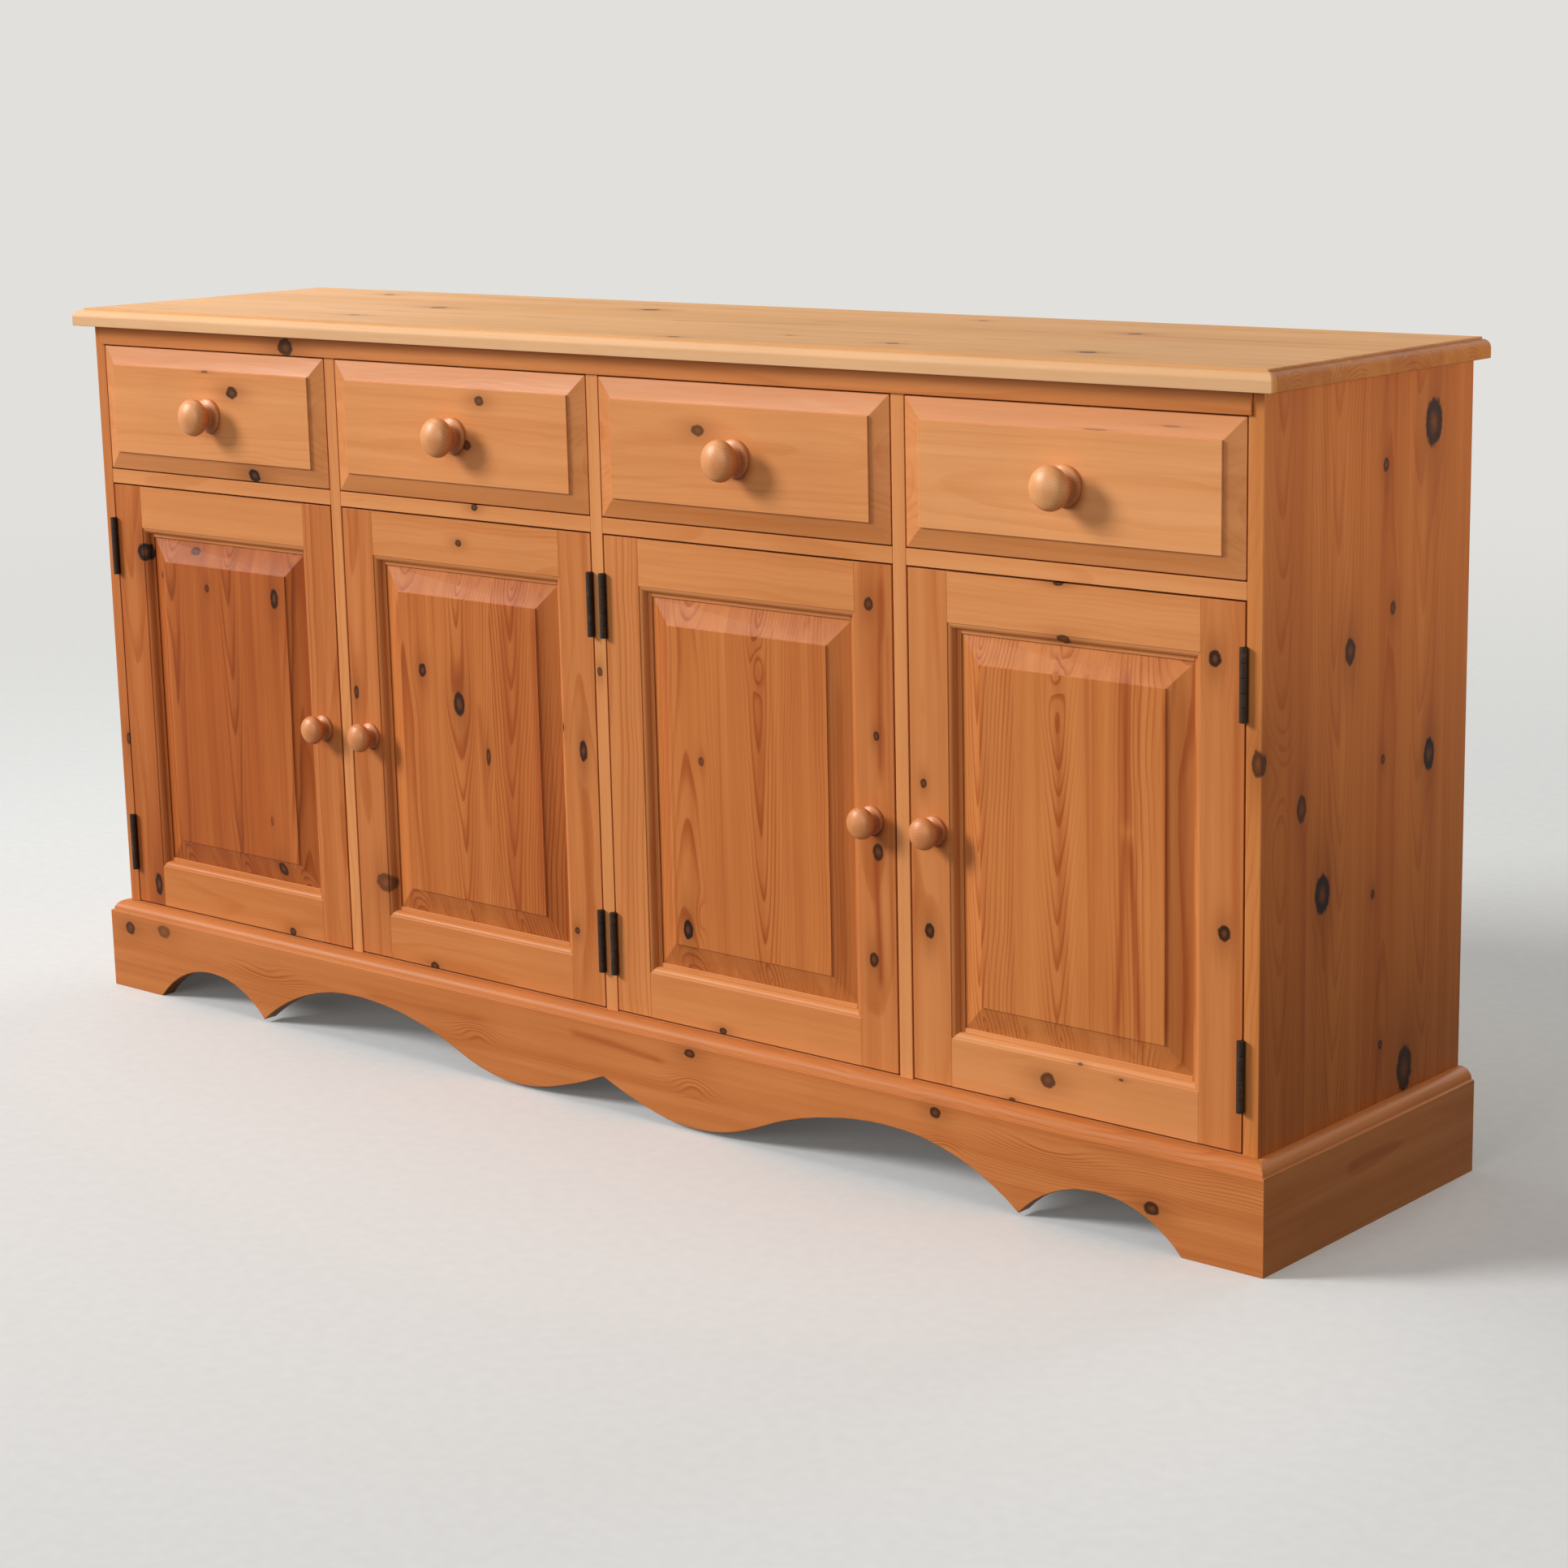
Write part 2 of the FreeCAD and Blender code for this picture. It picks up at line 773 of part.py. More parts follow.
def knob_section(kind):
    """Half of a turned knob's outline: spigot, collar, hollow neck and domed head. Its front is -Y."""
    reach, head, collar, neck = (f"{kind}knob_{part}" for part in ("reach", "head", "base", "neck"))
    spigot, length = f"{kind}spigot", f"{kind}spigot_length"
    return [
        ("0", length),
        ("0", f"-{reach}", f"{reach} * knob_dome_radius"),
        (f"{head} * knob_crown", f"-{reach} * knob_crown_depth", f"{head} * knob_cheek_radius"),
        (head, f"-{reach} * knob_widest_depth", f"{head} * knob_under_radius"),
        (f"{head} * knob_heel", f"-{reach} * knob_heel_depth"),
        (neck, f"-{reach} * knob_neck_depth", f"-{reach} * knob_hollow_radius"),
        (f"{neck} + {reach} * knob_hollow_spread", f"-{reach} * knob_hollow_depth"),
        (
            f"{collar} - {reach} * knob_collar_lip",
            f"-{reach} * knob_collar_depth",
            f"{reach} * knob_collar_radius",
        ),
        (collar, "0"),
        (spigot, "0"),
        (spigot, length),
    ]


def drawer(bay):
    """A drawer: fielded front, two dovetailed sides, a back, a bottom and a knob."""
    name = f"drawer_{bay + 1}"
    left = f"({bay_left(bay)} + drawer_gap)"
    right = f"({bay_left(bay)} + opening - drawer_gap)"
    low, high = "drawer_floor + drawer_gap", "rail_top - drawer_gap"
    middle = f"{bay_left(bay)} + opening / 2"
    knob_spot = (middle, "field", f"({low} + {high}) / 2")

    def ring(y, inset):
        """The front's outline at a depth, set in from its edges."""
        return (y, f"{left} + {inset}", f"{right} - {inset}", f"{low} + {inset}", f"{high} - {inset}")

    edge = ring("front", "0")
    slope_end = ring("front - front_slope", "front_bevel")
    slab_back = ring("front + front_thickness", "0")
    board = joined(
        [
            taper(edge, slab_back, "front_board"),
            taper(slope_end, edge, "front_bevel"),
            taper(ring("field", "front_bevel"), slope_end, "front_field"),
        ]
    )
    box_left = f"({bay_left(bay)} + drawer_side_gap)"
    sides = [
        drawer_side(box_left, f"{box_left} + drawer_side - drawer_groove"),
        drawer_side(f"({box_left} + box_width - drawer_side)", f"{box_left} + box_width - drawer_side"),
    ]
    bottom = drawer_bottom(box_left)
    hole = rod(knob_spot, "drawer_spigot + spigot_play", "drawer_spigot_length", (0, 1, 0))
    node(f"{name}_front", without(board, [hole, bottom, *sides]))
    node(f"{name}_box", group([*sides, drawer_back(box_left)]))
    node(f"{name}_bottom", bottom)
    node(f"{name}_knob", turned(knob_section("drawer_"), knob_spot, "knob"))


def drawer_side(x, groove_x):
    """A side with dovetails at the front and grooves for the back and the bottom."""
    start = "front + front_thickness"
    tail_pitch = "drawer_side_height / tail_count"
    length = f"drawer_end - ({start})"
    pieces = [block((x, start, "drawer_low"), ("drawer_side", length, "drawer_side_height"))]
    for number in range(SIZES["tail_count"]):
        centre = f"drawer_low + ({number} + 0.5) * {tail_pitch}"
        span = (f"{x}", f"{x} + drawer_side")
        tip = (f"{start} - tail_length", *span, f"{centre} - tail_width / 2", f"{centre} + tail_width / 2")
        waist = "(tail_width / 2 - tail_flare)"
        pieces.append(taper(tip, (start, *span, f"{centre} - {waist}", f"{centre} + {waist}"), "tail"))
    bottom_groove = block(
        (groove_x, f"{start} - drawer_groove", "drawer_low + drawer_bottom_height"),
        ("drawer_groove", f"{length} + drawer_groove", "drawer_bottom"),
    )
    top_of_bottom = "drawer_low + drawer_bottom_height + drawer_bottom"
    back_groove = block(
        (groove_x, "drawer_end - drawer_back_set - drawer_side", top_of_bottom),
        ("drawer_groove", "drawer_side", f"drawer_high - ({top_of_bottom})"),
    )
    return without(joined(pieces), [bottom_groove, back_groove])


def drawer_back(box_left):
    """A back that stands on the drawer's bottom, housed in both sides."""
    low = "drawer_low + drawer_bottom_height + drawer_bottom"
    return block(
        (f"{box_left} + drawer_side - drawer_groove", "drawer_end - drawer_back_set - drawer_side", low),
        ("box_width - 2 * (drawer_side - drawer_groove)", "drawer_side", f"drawer_high - ({low})"),
    )


def drawer_bottom(box_left):
    """A thin bottom in grooves on three sides, under the drawer's back."""
    start = "front + front_thickness - drawer_groove"
    return block(
        (f"{box_left} + drawer_side - drawer_groove", start, "drawer_low + drawer_bottom_height"),
        (
            "box_width - 2 * (drawer_side - drawer_groove)",
            f"drawer_end - drawer_back_set - ({start})",
            "drawer_bottom",
        ),
    )


def frame_hinges():
    """The fixed halves of all the hinges, with their pins and screws."""
    leaves, pins, fixings = [], [], []
    for bay in BAYS:
        way = frame_way(bay)
        for low in hinge_lows():
            leaves.append(leaf(bay, way, low, frame_knuckles()))
            pins.append(rod((hinge_axis(bay), "hinge_line", low), "pin", "hinge_length"))
        fixings += screws(bay, way)
    node("hinge_frame_leaves", group(leaves))
    node("hinge_pins", group(pins))
    node("hinge_frame_screws", group(fixings))


def carcass():
    node("top_board", top_board())
    for end in ENDS:
        node(f"side_panel_{end}", side_panel(end))
        node(f"plinth_{end}", plinth_side(end))
    node("partitions", group([partition(number) for number in BAYS[1:]]))
    node("bottom_board", bottom_board())
    node("back_boards", back_boards())
    rail_low = ("-inner_half - housing", "front - top_rail_proud", "rail_top")
    rail_size = ("2 * (inner_half + housing)", "top_rail_depth", "top_rail_height")
    node("top_rail", block(rail_low, rail_size))
    node("drawer_rails", drawer_rails())
    runner_start = "front + drawer_rail_depth"
    runner_size = ("runner_width", f"back_inside - ({runner_start})", "drawer_rail_height")
    node("drawer_runners", strips(runner_start, "door_ceiling", runner_size))
    kicker_start = "front + top_rail_depth - top_rail_proud"
    kicker_size = ("runner_width", f"back_inside - ({kicker_start})", "top_rail_height")
    node("drawer_kickers", strips(kicker_start, "rail_top", kicker_size))
    node("plinth_front", plinth_front())
    node("plinth_blocks", plinth_blocks())
    shelf_size = ("opening - 2 * shelf_play", "shelf_depth", "board")
    shelf_spot = "back_inside - shelf_play - shelf_depth"
    shelves = [block((f"{bay_left(b)} + shelf_play", shelf_spot, "shelf_height"), shelf_size) for b in BAYS]
    node("shelves", group(shelves))
    batten_size = ("board", "batten_length", "batten_height")
    batten_low = "shelf_height - batten_height"
    node("shelf_battens", strips("back_inside - batten_length", batten_low, batten_size))
    node("door_catches", door_catches())
    frame_hinges()


carcass()
for bay_number in BAYS:
    door(bay_number)
    drawer(bay_number)
doc.recompute()

failed = [thing.Label for thing in doc.Objects if {"Invalid", "Error"} & set(thing.State)]
if failed:
    raise RuntimeError(f"these did not compute: {failed}")
for label, thing in nodes.items():
    if thing.Shape.isNull() or not thing.Shape.isValid():
        raise RuntimeError(f"{label} is not a sound solid")

os.makedirs("parts", exist_ok=True)
for label, thing in nodes.items():
    thing.Shape.exportStep(f"parts/{label}.step")
    print(label, len(thing.Shape.Solids), "solids", round(thing.Shape.Volume / 1000), "cm3")
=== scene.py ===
import json
import math
import random
from collections import namedtuple

import bmesh
import bpy
from mathutils import Matrix, Vector

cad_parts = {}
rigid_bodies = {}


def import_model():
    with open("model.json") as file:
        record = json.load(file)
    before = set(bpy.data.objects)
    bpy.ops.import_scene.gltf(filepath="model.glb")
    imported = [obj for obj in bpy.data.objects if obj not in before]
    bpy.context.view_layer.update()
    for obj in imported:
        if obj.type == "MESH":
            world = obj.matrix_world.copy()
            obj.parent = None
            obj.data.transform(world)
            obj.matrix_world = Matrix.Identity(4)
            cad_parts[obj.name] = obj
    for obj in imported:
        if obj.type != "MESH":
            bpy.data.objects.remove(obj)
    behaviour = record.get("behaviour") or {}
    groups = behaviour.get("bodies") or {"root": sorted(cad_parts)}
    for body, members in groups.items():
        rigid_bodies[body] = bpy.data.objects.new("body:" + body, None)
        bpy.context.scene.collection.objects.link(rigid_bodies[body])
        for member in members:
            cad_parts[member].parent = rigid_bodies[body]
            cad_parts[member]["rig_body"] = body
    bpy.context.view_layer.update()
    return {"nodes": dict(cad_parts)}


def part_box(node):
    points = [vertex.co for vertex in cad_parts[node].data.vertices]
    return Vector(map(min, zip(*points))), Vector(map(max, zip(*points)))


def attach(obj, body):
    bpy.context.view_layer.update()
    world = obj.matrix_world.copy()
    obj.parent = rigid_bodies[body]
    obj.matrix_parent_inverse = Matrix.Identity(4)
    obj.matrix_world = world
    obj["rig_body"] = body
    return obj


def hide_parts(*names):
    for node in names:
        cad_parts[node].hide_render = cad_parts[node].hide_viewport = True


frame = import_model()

# A waxed pine dresser base: four drawers over four panelled doors. Metres, in the frame of the CAD model.

MM = 0.001
BAYS = (1, 2, 3, 4)
# The detail of a finer noise.
FINE = 3.0


def linear(red, green, blue):
    """A colour in everyday 0 to 255 values, as the light values that a shader takes."""

    def curve(level):
        share = level / 255
        return share / 12.92 if share <= 0.04045 else ((share + 0.055) / 1.055) ** 2.4

    return (curve(red), curve(green), curve(blue), 1.0)


def grey(level):
    return (level, level, level, 1.0)


def tints(spots, *colours):
    """A ramp's stops: where each everyday colour lies on it."""
    return [(spot, linear(*colour)) for spot, colour in zip(spots, colours)]


def both_ways(operation):
    """A sum of a shade and another term, with the shade first and with it last."""

    def first(shade, other):
        return shade.maths(operation, shade, other)

    def last(shade, other):
        return shade.maths(operation, other, shade)

    return first, last


class Shade:
    """A node's output, so that the maths of a finish reads as sums."""

    def __init__(self, socket):
        self.socket = socket

    def maths(self, operation, *terms):
        node = self.socket.id_data.nodes.new("ShaderNodeMath")
        node.operation = operation
        for entry, term in zip(node.inputs, terms):
            feed(entry, term)
        return Shade(node.outputs[0])

    __add__, __radd__ = both_ways("ADD")
    __sub__, __rsub__ = both_ways("SUBTRACT")
    __mul__, __rmul__ = both_ways("MULTIPLY")
    __pow__, __rpow__ = both_ways("POWER")

    def over(self, limit):
        """1 where the value is above the limit, and 0 elsewhere."""
        return self.maths("GREATER_THAN", self, limit)

    def least(self, other):
        return self.maths("MINIMUM", self, other)

    def most(self, other):
        return self.maths("MAXIMUM", self, other)

    def part(self):
        """What is left after the whole number."""
        return self.maths("FRACT", self)


def feed(entry, term):
    """Gives a socket a link or a value."""
    if isinstance(term, Shade):
        entry.id_data.links.new(term.socket, entry)
    else:
        entry.default_value = term


class Finish:
    """A material or a world under way: nodes are added one by one and end in one shader."""

    def __init__(self, owner):
        owner.use_nodes = True
        self.owner = owner
        self.tree = owner.node_tree
        self.tree.nodes.clear()

    def add(self, kind, settings, sockets, output=0):
        """Any node: its type, its settings, its sockets' values or links, and the output wanted."""
        node = self.tree.nodes.new("ShaderNode" + kind)
        for key, setting in settings.items():
            if key == "stops":
                stops = node.color_ramp.elements
                while len(stops) < len(setting):
                    stops.new(0.5)
                for stop, (spot, colour) in zip(stops, setting):
                    stop.position = spot
                    stop.color = colour
            else:
                setattr(node, key, setting)
        for key, term in sockets.items():
            feed(node.inputs[key], term)
        return Shade(node.outputs[output]) if node.outputs else None

    def spot(self):
        """Where a point is in the frame."""
        return self.add("TexCoord", {}, {}, "Object")

    def place(self):
        """Where a point is in the frame, as its X, Y and Z."""
        parts = self.add("SeparateXYZ", {}, {0: self.spot()}).socket.node.outputs
        return {axis: Shade(parts[axis]) for axis in "XYZ"}

    def join(self, x, y, z):
        return self.add("CombineXYZ", {}, {0: x, 1: y, 2: z})

    def vectors(self, operation, *terms, output=0):
        return self.add("VectorMath", {"operation": operation}, dict(enumerate(terms)), output)

    def noise(self, vector, scales, detail=2.0, rough=0.5):
        """Noise from 0 to 1 with its own scale along each direction."""
        spot = self.vectors("MULTIPLY", vector, scales)
        return self.add("TexNoise", {}, {"Vector": spot, "Scale": 1.0, "Detail": detail, "Roughness": rough})

    def swing(self, vector, scales, strength=1.0, detail=2.0):
        """Noise about 0, half of its strength to each side."""
        return (self.noise(vector, scales, detail) - 0.5) * strength

    def ramp(self, level, stops):
        return self.add("ValToRGB", {"stops": stops}, {0: level})

    def band(self, level, start, end, low=0.0, high=1.0):
        """A smooth step from low to high as the level goes from start to end."""
        sockets = {0: level, 1: start, 2: end, 3: low, 4: high}
        return self.add("MapRange", {"interpolation_type": "SMOOTHSTEP"}, sockets)

    def mix(self, share, first, second, blend="MIX"):
        """A colour between two colours."""
        settings = {"data_type": "RGBA", "blend_type": blend}
        return self.add("Mix", settings, {0: share, 6: first, 7: second}, 2)

    def bump(self, height, strength, distance):
        return self.add("Bump", {}, {"Height": height, "Strength": strength, "Distance": distance})

    def seen(self):
        """1 for what the camera, a mirror or glass sees, and 0 for light that spreads."""
        camera, mirror, glass = (
            self.add("LightPath", {}, {}, f"Is {ray} Ray") for ray in ("Camera", "Glossy", "Transmission")
        )
        return camera.most(mirror).most(glass)

    def end(self, sockets):
        """Closes the material with its shader."""
        shader = self.add("BsdfPrincipled", {}, sockets)
        self.add("OutputMaterial", {}, {"Surface": shader})
        return self.owner


def new_finish(name):
    return Finish(bpy.data.materials.new(name))


# Pine. Lengths in these tables are in millimetres, as a maker measures them.
# A stave is one board of a glued-up width: where it starts across the piece, where its heart lies across
# and through it, how fast the rings close along it, and how dark it is from 0 to 1.
Stave = namedtuple("Stave", "edge heart deep taper tone")
# A knot's place across and along the board, its half width and half height, and how dark it is. A knot
# in a board's edge also has its place and half width through the board.
Knot = namedtuple("Knot", "across along wide tall dark through thick", defaults=(0, 0))
# A swirl, where the saw has cut through a bulge of rings: its place, its half width and half height,
# and the millimetres of rings that it shows.
Swirl = namedtuple("Swirl", "across along wide tall lift through thick", defaults=(0, 0))
# A red resin streak: its place across at its start, where it starts and ends along the board, its half
# width, how far it drifts across by its end, and how strong it is.
Streak = namedtuple("Streak", "across start end wide drift strong")
# A finish: colours from pale to dark wood, strength of rings, streaks and veins, roughness, wax, and how
# far apart the rings are.
Look = namedtuple("Look", "stops rings streaks veins rough wax pitch", defaults=(5,))

DARKNESS = (0.0, 0.3, 0.6, 1.0)
WAXED = Look(
    tints(DARKNESS, (230, 158, 100), (208, 131, 74), (181, 99, 47), (136, 63, 25)),
    rings=0.19, streaks=0.50, veins=0.20, rough=0.46, wax=0.04,
)
PANEL = WAXED._replace(
    stops=tints(DARKNESS, (226, 151, 89), (204, 124, 65), (175, 92, 41), (125, 54, 20)),
    rings=0.32, veins=0.35,
)
# Painted shade: a darker, more saturated copy of the waxed finish for the right side, which lies in shade.
SHADED_SIDE = WAXED._replace(
    stops=tints(DARKNESS, (222, 147, 86), (198, 119, 58), (170, 88, 36), (126, 56, 18)),
    rings=0.16,
)
PLINTH = WAXED._replace(rings=0.34, pitch=3.6)
PALE = Look(
    tints(DARKNESS, (238, 172, 116), (222, 149, 92), (199, 120, 62), (160, 82, 35)),
    rings=0.10, streaks=0.36, veins=0.08, rough=0.42, wax=0.06,
)
# Painted sheen: the top's colours are paler than the other woods, for the light reflected from its surface.
TOP_WITH_PAINTED_SHEEN = PALE._replace(
    stops=tints(DARKNESS, (230, 184, 141), (218, 163, 105), (196, 132, 70), (160, 90, 42)),
    rings=0.17, rough=0.54, wax=0.015,
)
BARE = Look(
    tints(DARKNESS, (235, 201, 152), (217, 176, 122), (195, 147, 92), (160, 108, 60)),
    rings=0.30, streaks=0.45, veins=0.10, rough=0.68, wax=0.0,
)
# Each ring goes from pale early wood to dark late wood. Rings show boldly this near the heart.
RING_STOPS = [
    (0.0, grey(0.0)),
    (0.52, grey(0.08)),
    (0.86, grey(1.0)),
    (0.95, grey(0.85)),
    (1.0, grey(0.0)),
]
HEART_REACH = (18 * MM) ** -2
# How far a knot bends the rings and stains the wood, and where its rim fades, by its own size.
KNOT_REACH = (0.34, 0.20, 0.34)
KNOT_PUSH = 0.8
KNOT_STAIN = 0.5
KNOT_RIM = (1.2, 0.9)
KNOT_STOPS = tints((0.0, 0.35, 0.62, 1.0), (108, 60, 32), (84, 44, 23), (40, 21, 13), (25, 14, 10))
VEIN = linear(160, 74, 32)
HALO = linear(132, 66, 28)
# How differently the staves' grain lies, how uneven the rings are, and how strongly fibre shows.
STAVE_SHIFT, UNEVEN, FIBRE = 0.05, 3.0, 0.12
# A resin streak is strongest between these shares of its length, and noise breaks it up.
STREAK_FULL = (0.12, 0.85)
RESIN, LEAST_RESIN, RESIN_WANDER = 1.2, 0.25, 0.4
# How clouds of wear darken the wood, how they and fibre dull it, how late wood shines and stands out.
PATINA_STOPS = [(0.3, grey(0.92)), (0.7, grey(1.0))]
DULL_FIBRE, DULL_CLOUD, LATE_SHINE = 0.12, 0.10, 0.05
RING_RELIEF = 0.5
# Painted shade: the bevels of each fielded drawer front are painted darker, for the shade on them.
BEVEL_SHADE_TONES = (0.14, 0.14, 0.14, 0.21)
BEVEL_START, BEVEL_END = 0.3 * MM, 1.5 * MM
SHADED_BEVELS = {
    f"drawer_{bay}_front": (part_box(f"drawer_{bay}_front")[0].y, tone)
    for bay, tone in zip(BAYS, BEVEL_SHADE_TONES)
}

# End grain is darker than the face; on the moulded ends of the top the darkening is also painted shade.
# It starts at a line along the board, and stops at the mitre with the front moulding.
END_GRAIN_AND_SHADE_TONE = 0.5
END_WIDTH, END_FADE = 14 * MM, 4 * MM
ENDS = {"top_board": (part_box("top_board")[1].x - END_WIDTH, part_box("top_board")[0].y + END_WIDTH)}


def listed(kind, table):
    """The rows of a table, as staves or marks of one kind."""
    return {name: [kind(*row) for row in rows] for name, rows in table.items()}


STAVES = listed(Stave, {
    "top_board": [
        # The first stave, the top's moulded front edge, is paler: a painted highlight on that edge.
        (-400, -150, 880, 0.01, 0.06), (-185, -150, 880, 0.01, 0.3), (-88, -30, 860, -0.014, 0.24),
        (22, 70, 850, 0.012, 0.34), (128, 180, 870, -0.01, 0.27),
    ],
    "side_panel_right": [
        (-400, -140, 868, -0.05, 0.2), (-173, -140, 868, -0.05, 0.4), (-90, -38, 876, -0.06, 0.34),
        (20, 62, 860, 0.03, 0.42), (95, 132, 868, -0.05, 0.33), (175, 236, 850, 0.02, 0.38),
    ],
    "side_panel_left": [
        (-400, -128, -870, 0.04, 0.42), (-72, -20, -872, -0.05, 0.47), (44, 84, -862, 0.03, 0.39),
        (132, 190, -868, -0.04, 0.44),
    ],
    # From door 4 to door 1 the panels darken in tone: painted shade, as light falls off towards the left.
    "door_1_panel": [
        (-900, -768, -150, -0.03, 0.56), (-715, -662, -160, -0.05, 0.58), (-612, -540, -140, 0.02, 0.55),
    ],
    "door_2_panel": [
        (-400, -330, -140, 0.02, 0.41), (-290, -237, -166, -0.07, 0.38), (-182, -152, -164, -0.05, 0.43),
    ],
    "door_3_panel": [
        (0, 130, -146, 0.03, 0.36), (192, 240, -166, -0.06, 0.37), (302, 384, -120, 0.01, 0.38),
    ],
    "door_4_panel": [
        (0, 546, -166, -0.06, 0.29), (592, 648, -167, -0.09, 0.26), (706, 806, -120, 0.008, 0.3),
    ],
    "plinth_front": [(0, -30, -150, 0.012, 0.39)],
    "top_rail": [(0, 840, -60, 0.012, 0.27)],
    "drawer_1_front": [(0, 790, -90, 0.016, 0.27)],
    "drawer_2_front": [(0, 760, -100, -0.014, 0.29)],
    "drawer_3_front": [(0, 800, -96, 0.012, 0.31)],
    # Drawer 4's front is paler in tone: painted light at the right end of the front.
    "drawer_4_front": [(0, 770, -84, -0.016, 0.18)],
})
# Painted shade: door boards toned to follow the fall of light, darkest towards the lower left.
PAINTED_SHADE_TONES = {
    "door_1_rail_top": 0.40,
    "door_1_rail_bottom": 0.56,
    "door_1_stile_left": 0.50,
    "door_1_stile_right": 0.44,
    "door_2_rail_top": 0.40,
    "door_2_rail_bottom": 0.50,
    "door_2_stile_left": 0.40,
    "door_3_rail_top": 0.39,
    "door_3_rail_bottom": 0.43,
    "door_3_stile_left": 0.26,
}
KNOTS = listed(Knot, {
    "top_board": [
        (165, -700, 6, 9, 0.8), (-105, -470, 5, 8, 0.75), (28, -460, 8, 12, 0.8), (118, -180, 8, 12, 0.85),
        (-166, 120, 5, 8, 0.7), (-92, 226, 3, 5, 0.6), (160, 300, 4, 6, 0.7), (-122, 395, 5, 8, 0.75),
        (90, 560, 6, 9, 0.8), (-114, 644, 7, 10, 0.85),
    ],
    "top_rail": [(872, -518, 10, 13, 0.9)],
    "drawer_rail_2": [(697, -199, 4, 5, 0.9)],
    "partition_2": [(-175, 521, 6, 5, 0.8, -2, 4)],
    "side_panel_left": [
        (-175, 340, 6, 8, 0.8, -879, 4), (-60, 720, 9, 15, 0.9), (110, 560, 7, 11, 0.9),
        (-110, 250, 12, 18, 0.95), (60, 190, 5, 7, 0.8), (160, 780, 6, 9, 0.8),
    ],
    "side_panel_right": [
        (144, 826, 16, 24, 0.95), (51, 792, 5, 7, 0.85), (69, 643, 5, 7, 0.8), (-13, 610, 9, 13, 0.9),
        (-174, 521, 9, 13, 0.8, 891, 7), (-101, 463, 8, 14, 0.85), (-60, 367, 13, 20, 1.0),
        (147, 477, 10, 17, 1.0), (54, 487, 4, 5, 0.8), (38, 347, 4, 5, 0.8), (108, 142, 14, 24, 0.95),
        (58, 180, 4, 5, 0.85),
    ],
    "plinth_front": [
        (84, -876, 8, 9, 0.85), (90, -805, 8, 12, 0.6), (94, 140, 5, 8, 0.9), (93, 498, 6, 7, 0.9),
        (45, 780, 7, 9, 0.9),
    ],
    "drawer_1_front": [(812, -618, 7, 10, 0.9), (709, -590, 8, 10, 1.0), (836, -668, 1.5, 6, 0.6)],
    "drawer_2_front": [(824, -175, 6, 7, 0.8), (771, -199, 6, 7, 0.8)],
    "drawer_3_front": [(809, 168, 6, 9, 0.75)],
    "drawer_4_front": [(839, 700, 0.8, 14, 0.45), (847, 790, 0.8, 10, 0.4)],
    "door_1_stile_left": [(-822, 594, 12, 11, 1.0), (-834, 147, 7, 14, 0.95)],
    "door_1_panel": [
        (-725, 602, 9, 5, 0.75), (-699, 557, 4, 5, 0.8), (-568, 555, 7, 12, 0.95), (-793, 566, 3, 4, 0.7),
        (-584, 202, 8, 9, 0.9), (-595, 265, 3, 6, 0.45),
    ],
    "door_1_rail_bottom": [(123, -566, 5, 6, 0.9)],
    "door_2_stile_left": [(-422, 452, 4, 8, 0.9), (-385, 215, 15, 11, 0.7)],
    "door_2_stile_right": [(-68, 448, 3.5, 5, 0.9), (-33, 424, 6, 12, 0.95), (-53, 205, 4, 4, 0.85)],
    "door_2_rail_top": [(652, -229, 4, 5, 0.85)],
    "door_2_rail_bottom": [(121, -302, 5, 7, 0.9)],
    "door_2_panel": [(-301, 492, 6, 8, 0.95), (-239, 457, 9, 14, 0.95), (-192, 398, 3.5, 10, 0.85)],
    "door_3_stile_right": [
        (400, 636, 6, 7, 0.85), (408, 493, 4, 5, 0.85), (408, 365, 7, 9, 0.9), (400, 243, 6, 8, 0.9),
    ],
    "door_3_rail_bottom": [(122, 175, 4, 5, 0.9)],
    "door_3_panel": [(152, 434, 4, 5, 0.7), (125, 234, 7, 11, 1.0)],
    "door_4_stile_left": [(472, 449, 4, 5, 0.85), (478, 288, 6, 8, 0.95)],
    "door_4_stile_right": [(840, 621, 7, 8, 0.95), (853, 344, 7, 8, 0.95)],
    "door_4_rail_top": [(680, 650, 3, 6, 0.9), (622, 655, 5, 8, 0.8)],
    "door_4_rail_bottom": [
        (150, 634, 8, 9, 0.8), (175, 675, 1.5, 3, 0.7), (168, 728, 1.5, 3, 0.7), (120, 587, 2, 4, 0.8),
    ],
})
SWIRLS = listed(Swirl, {
    "plinth_front": [
        (60, -600, 16, 80, 13), (60, -215, 15, 42, -12), (62, 143, 19, 36, -15), (62, 510, 15, 30, -12),
        (76, 650, 15, 90, 12),
    ],
    "side_panel_right": [(-140, 500, 24, 45, 15)],
    "door_3_panel": [(240, 548, 8, 24, 12), (146, 252, 7, 20, 10)],
    "door_4_panel": [(648, 590, 12, 34, 16)],
})
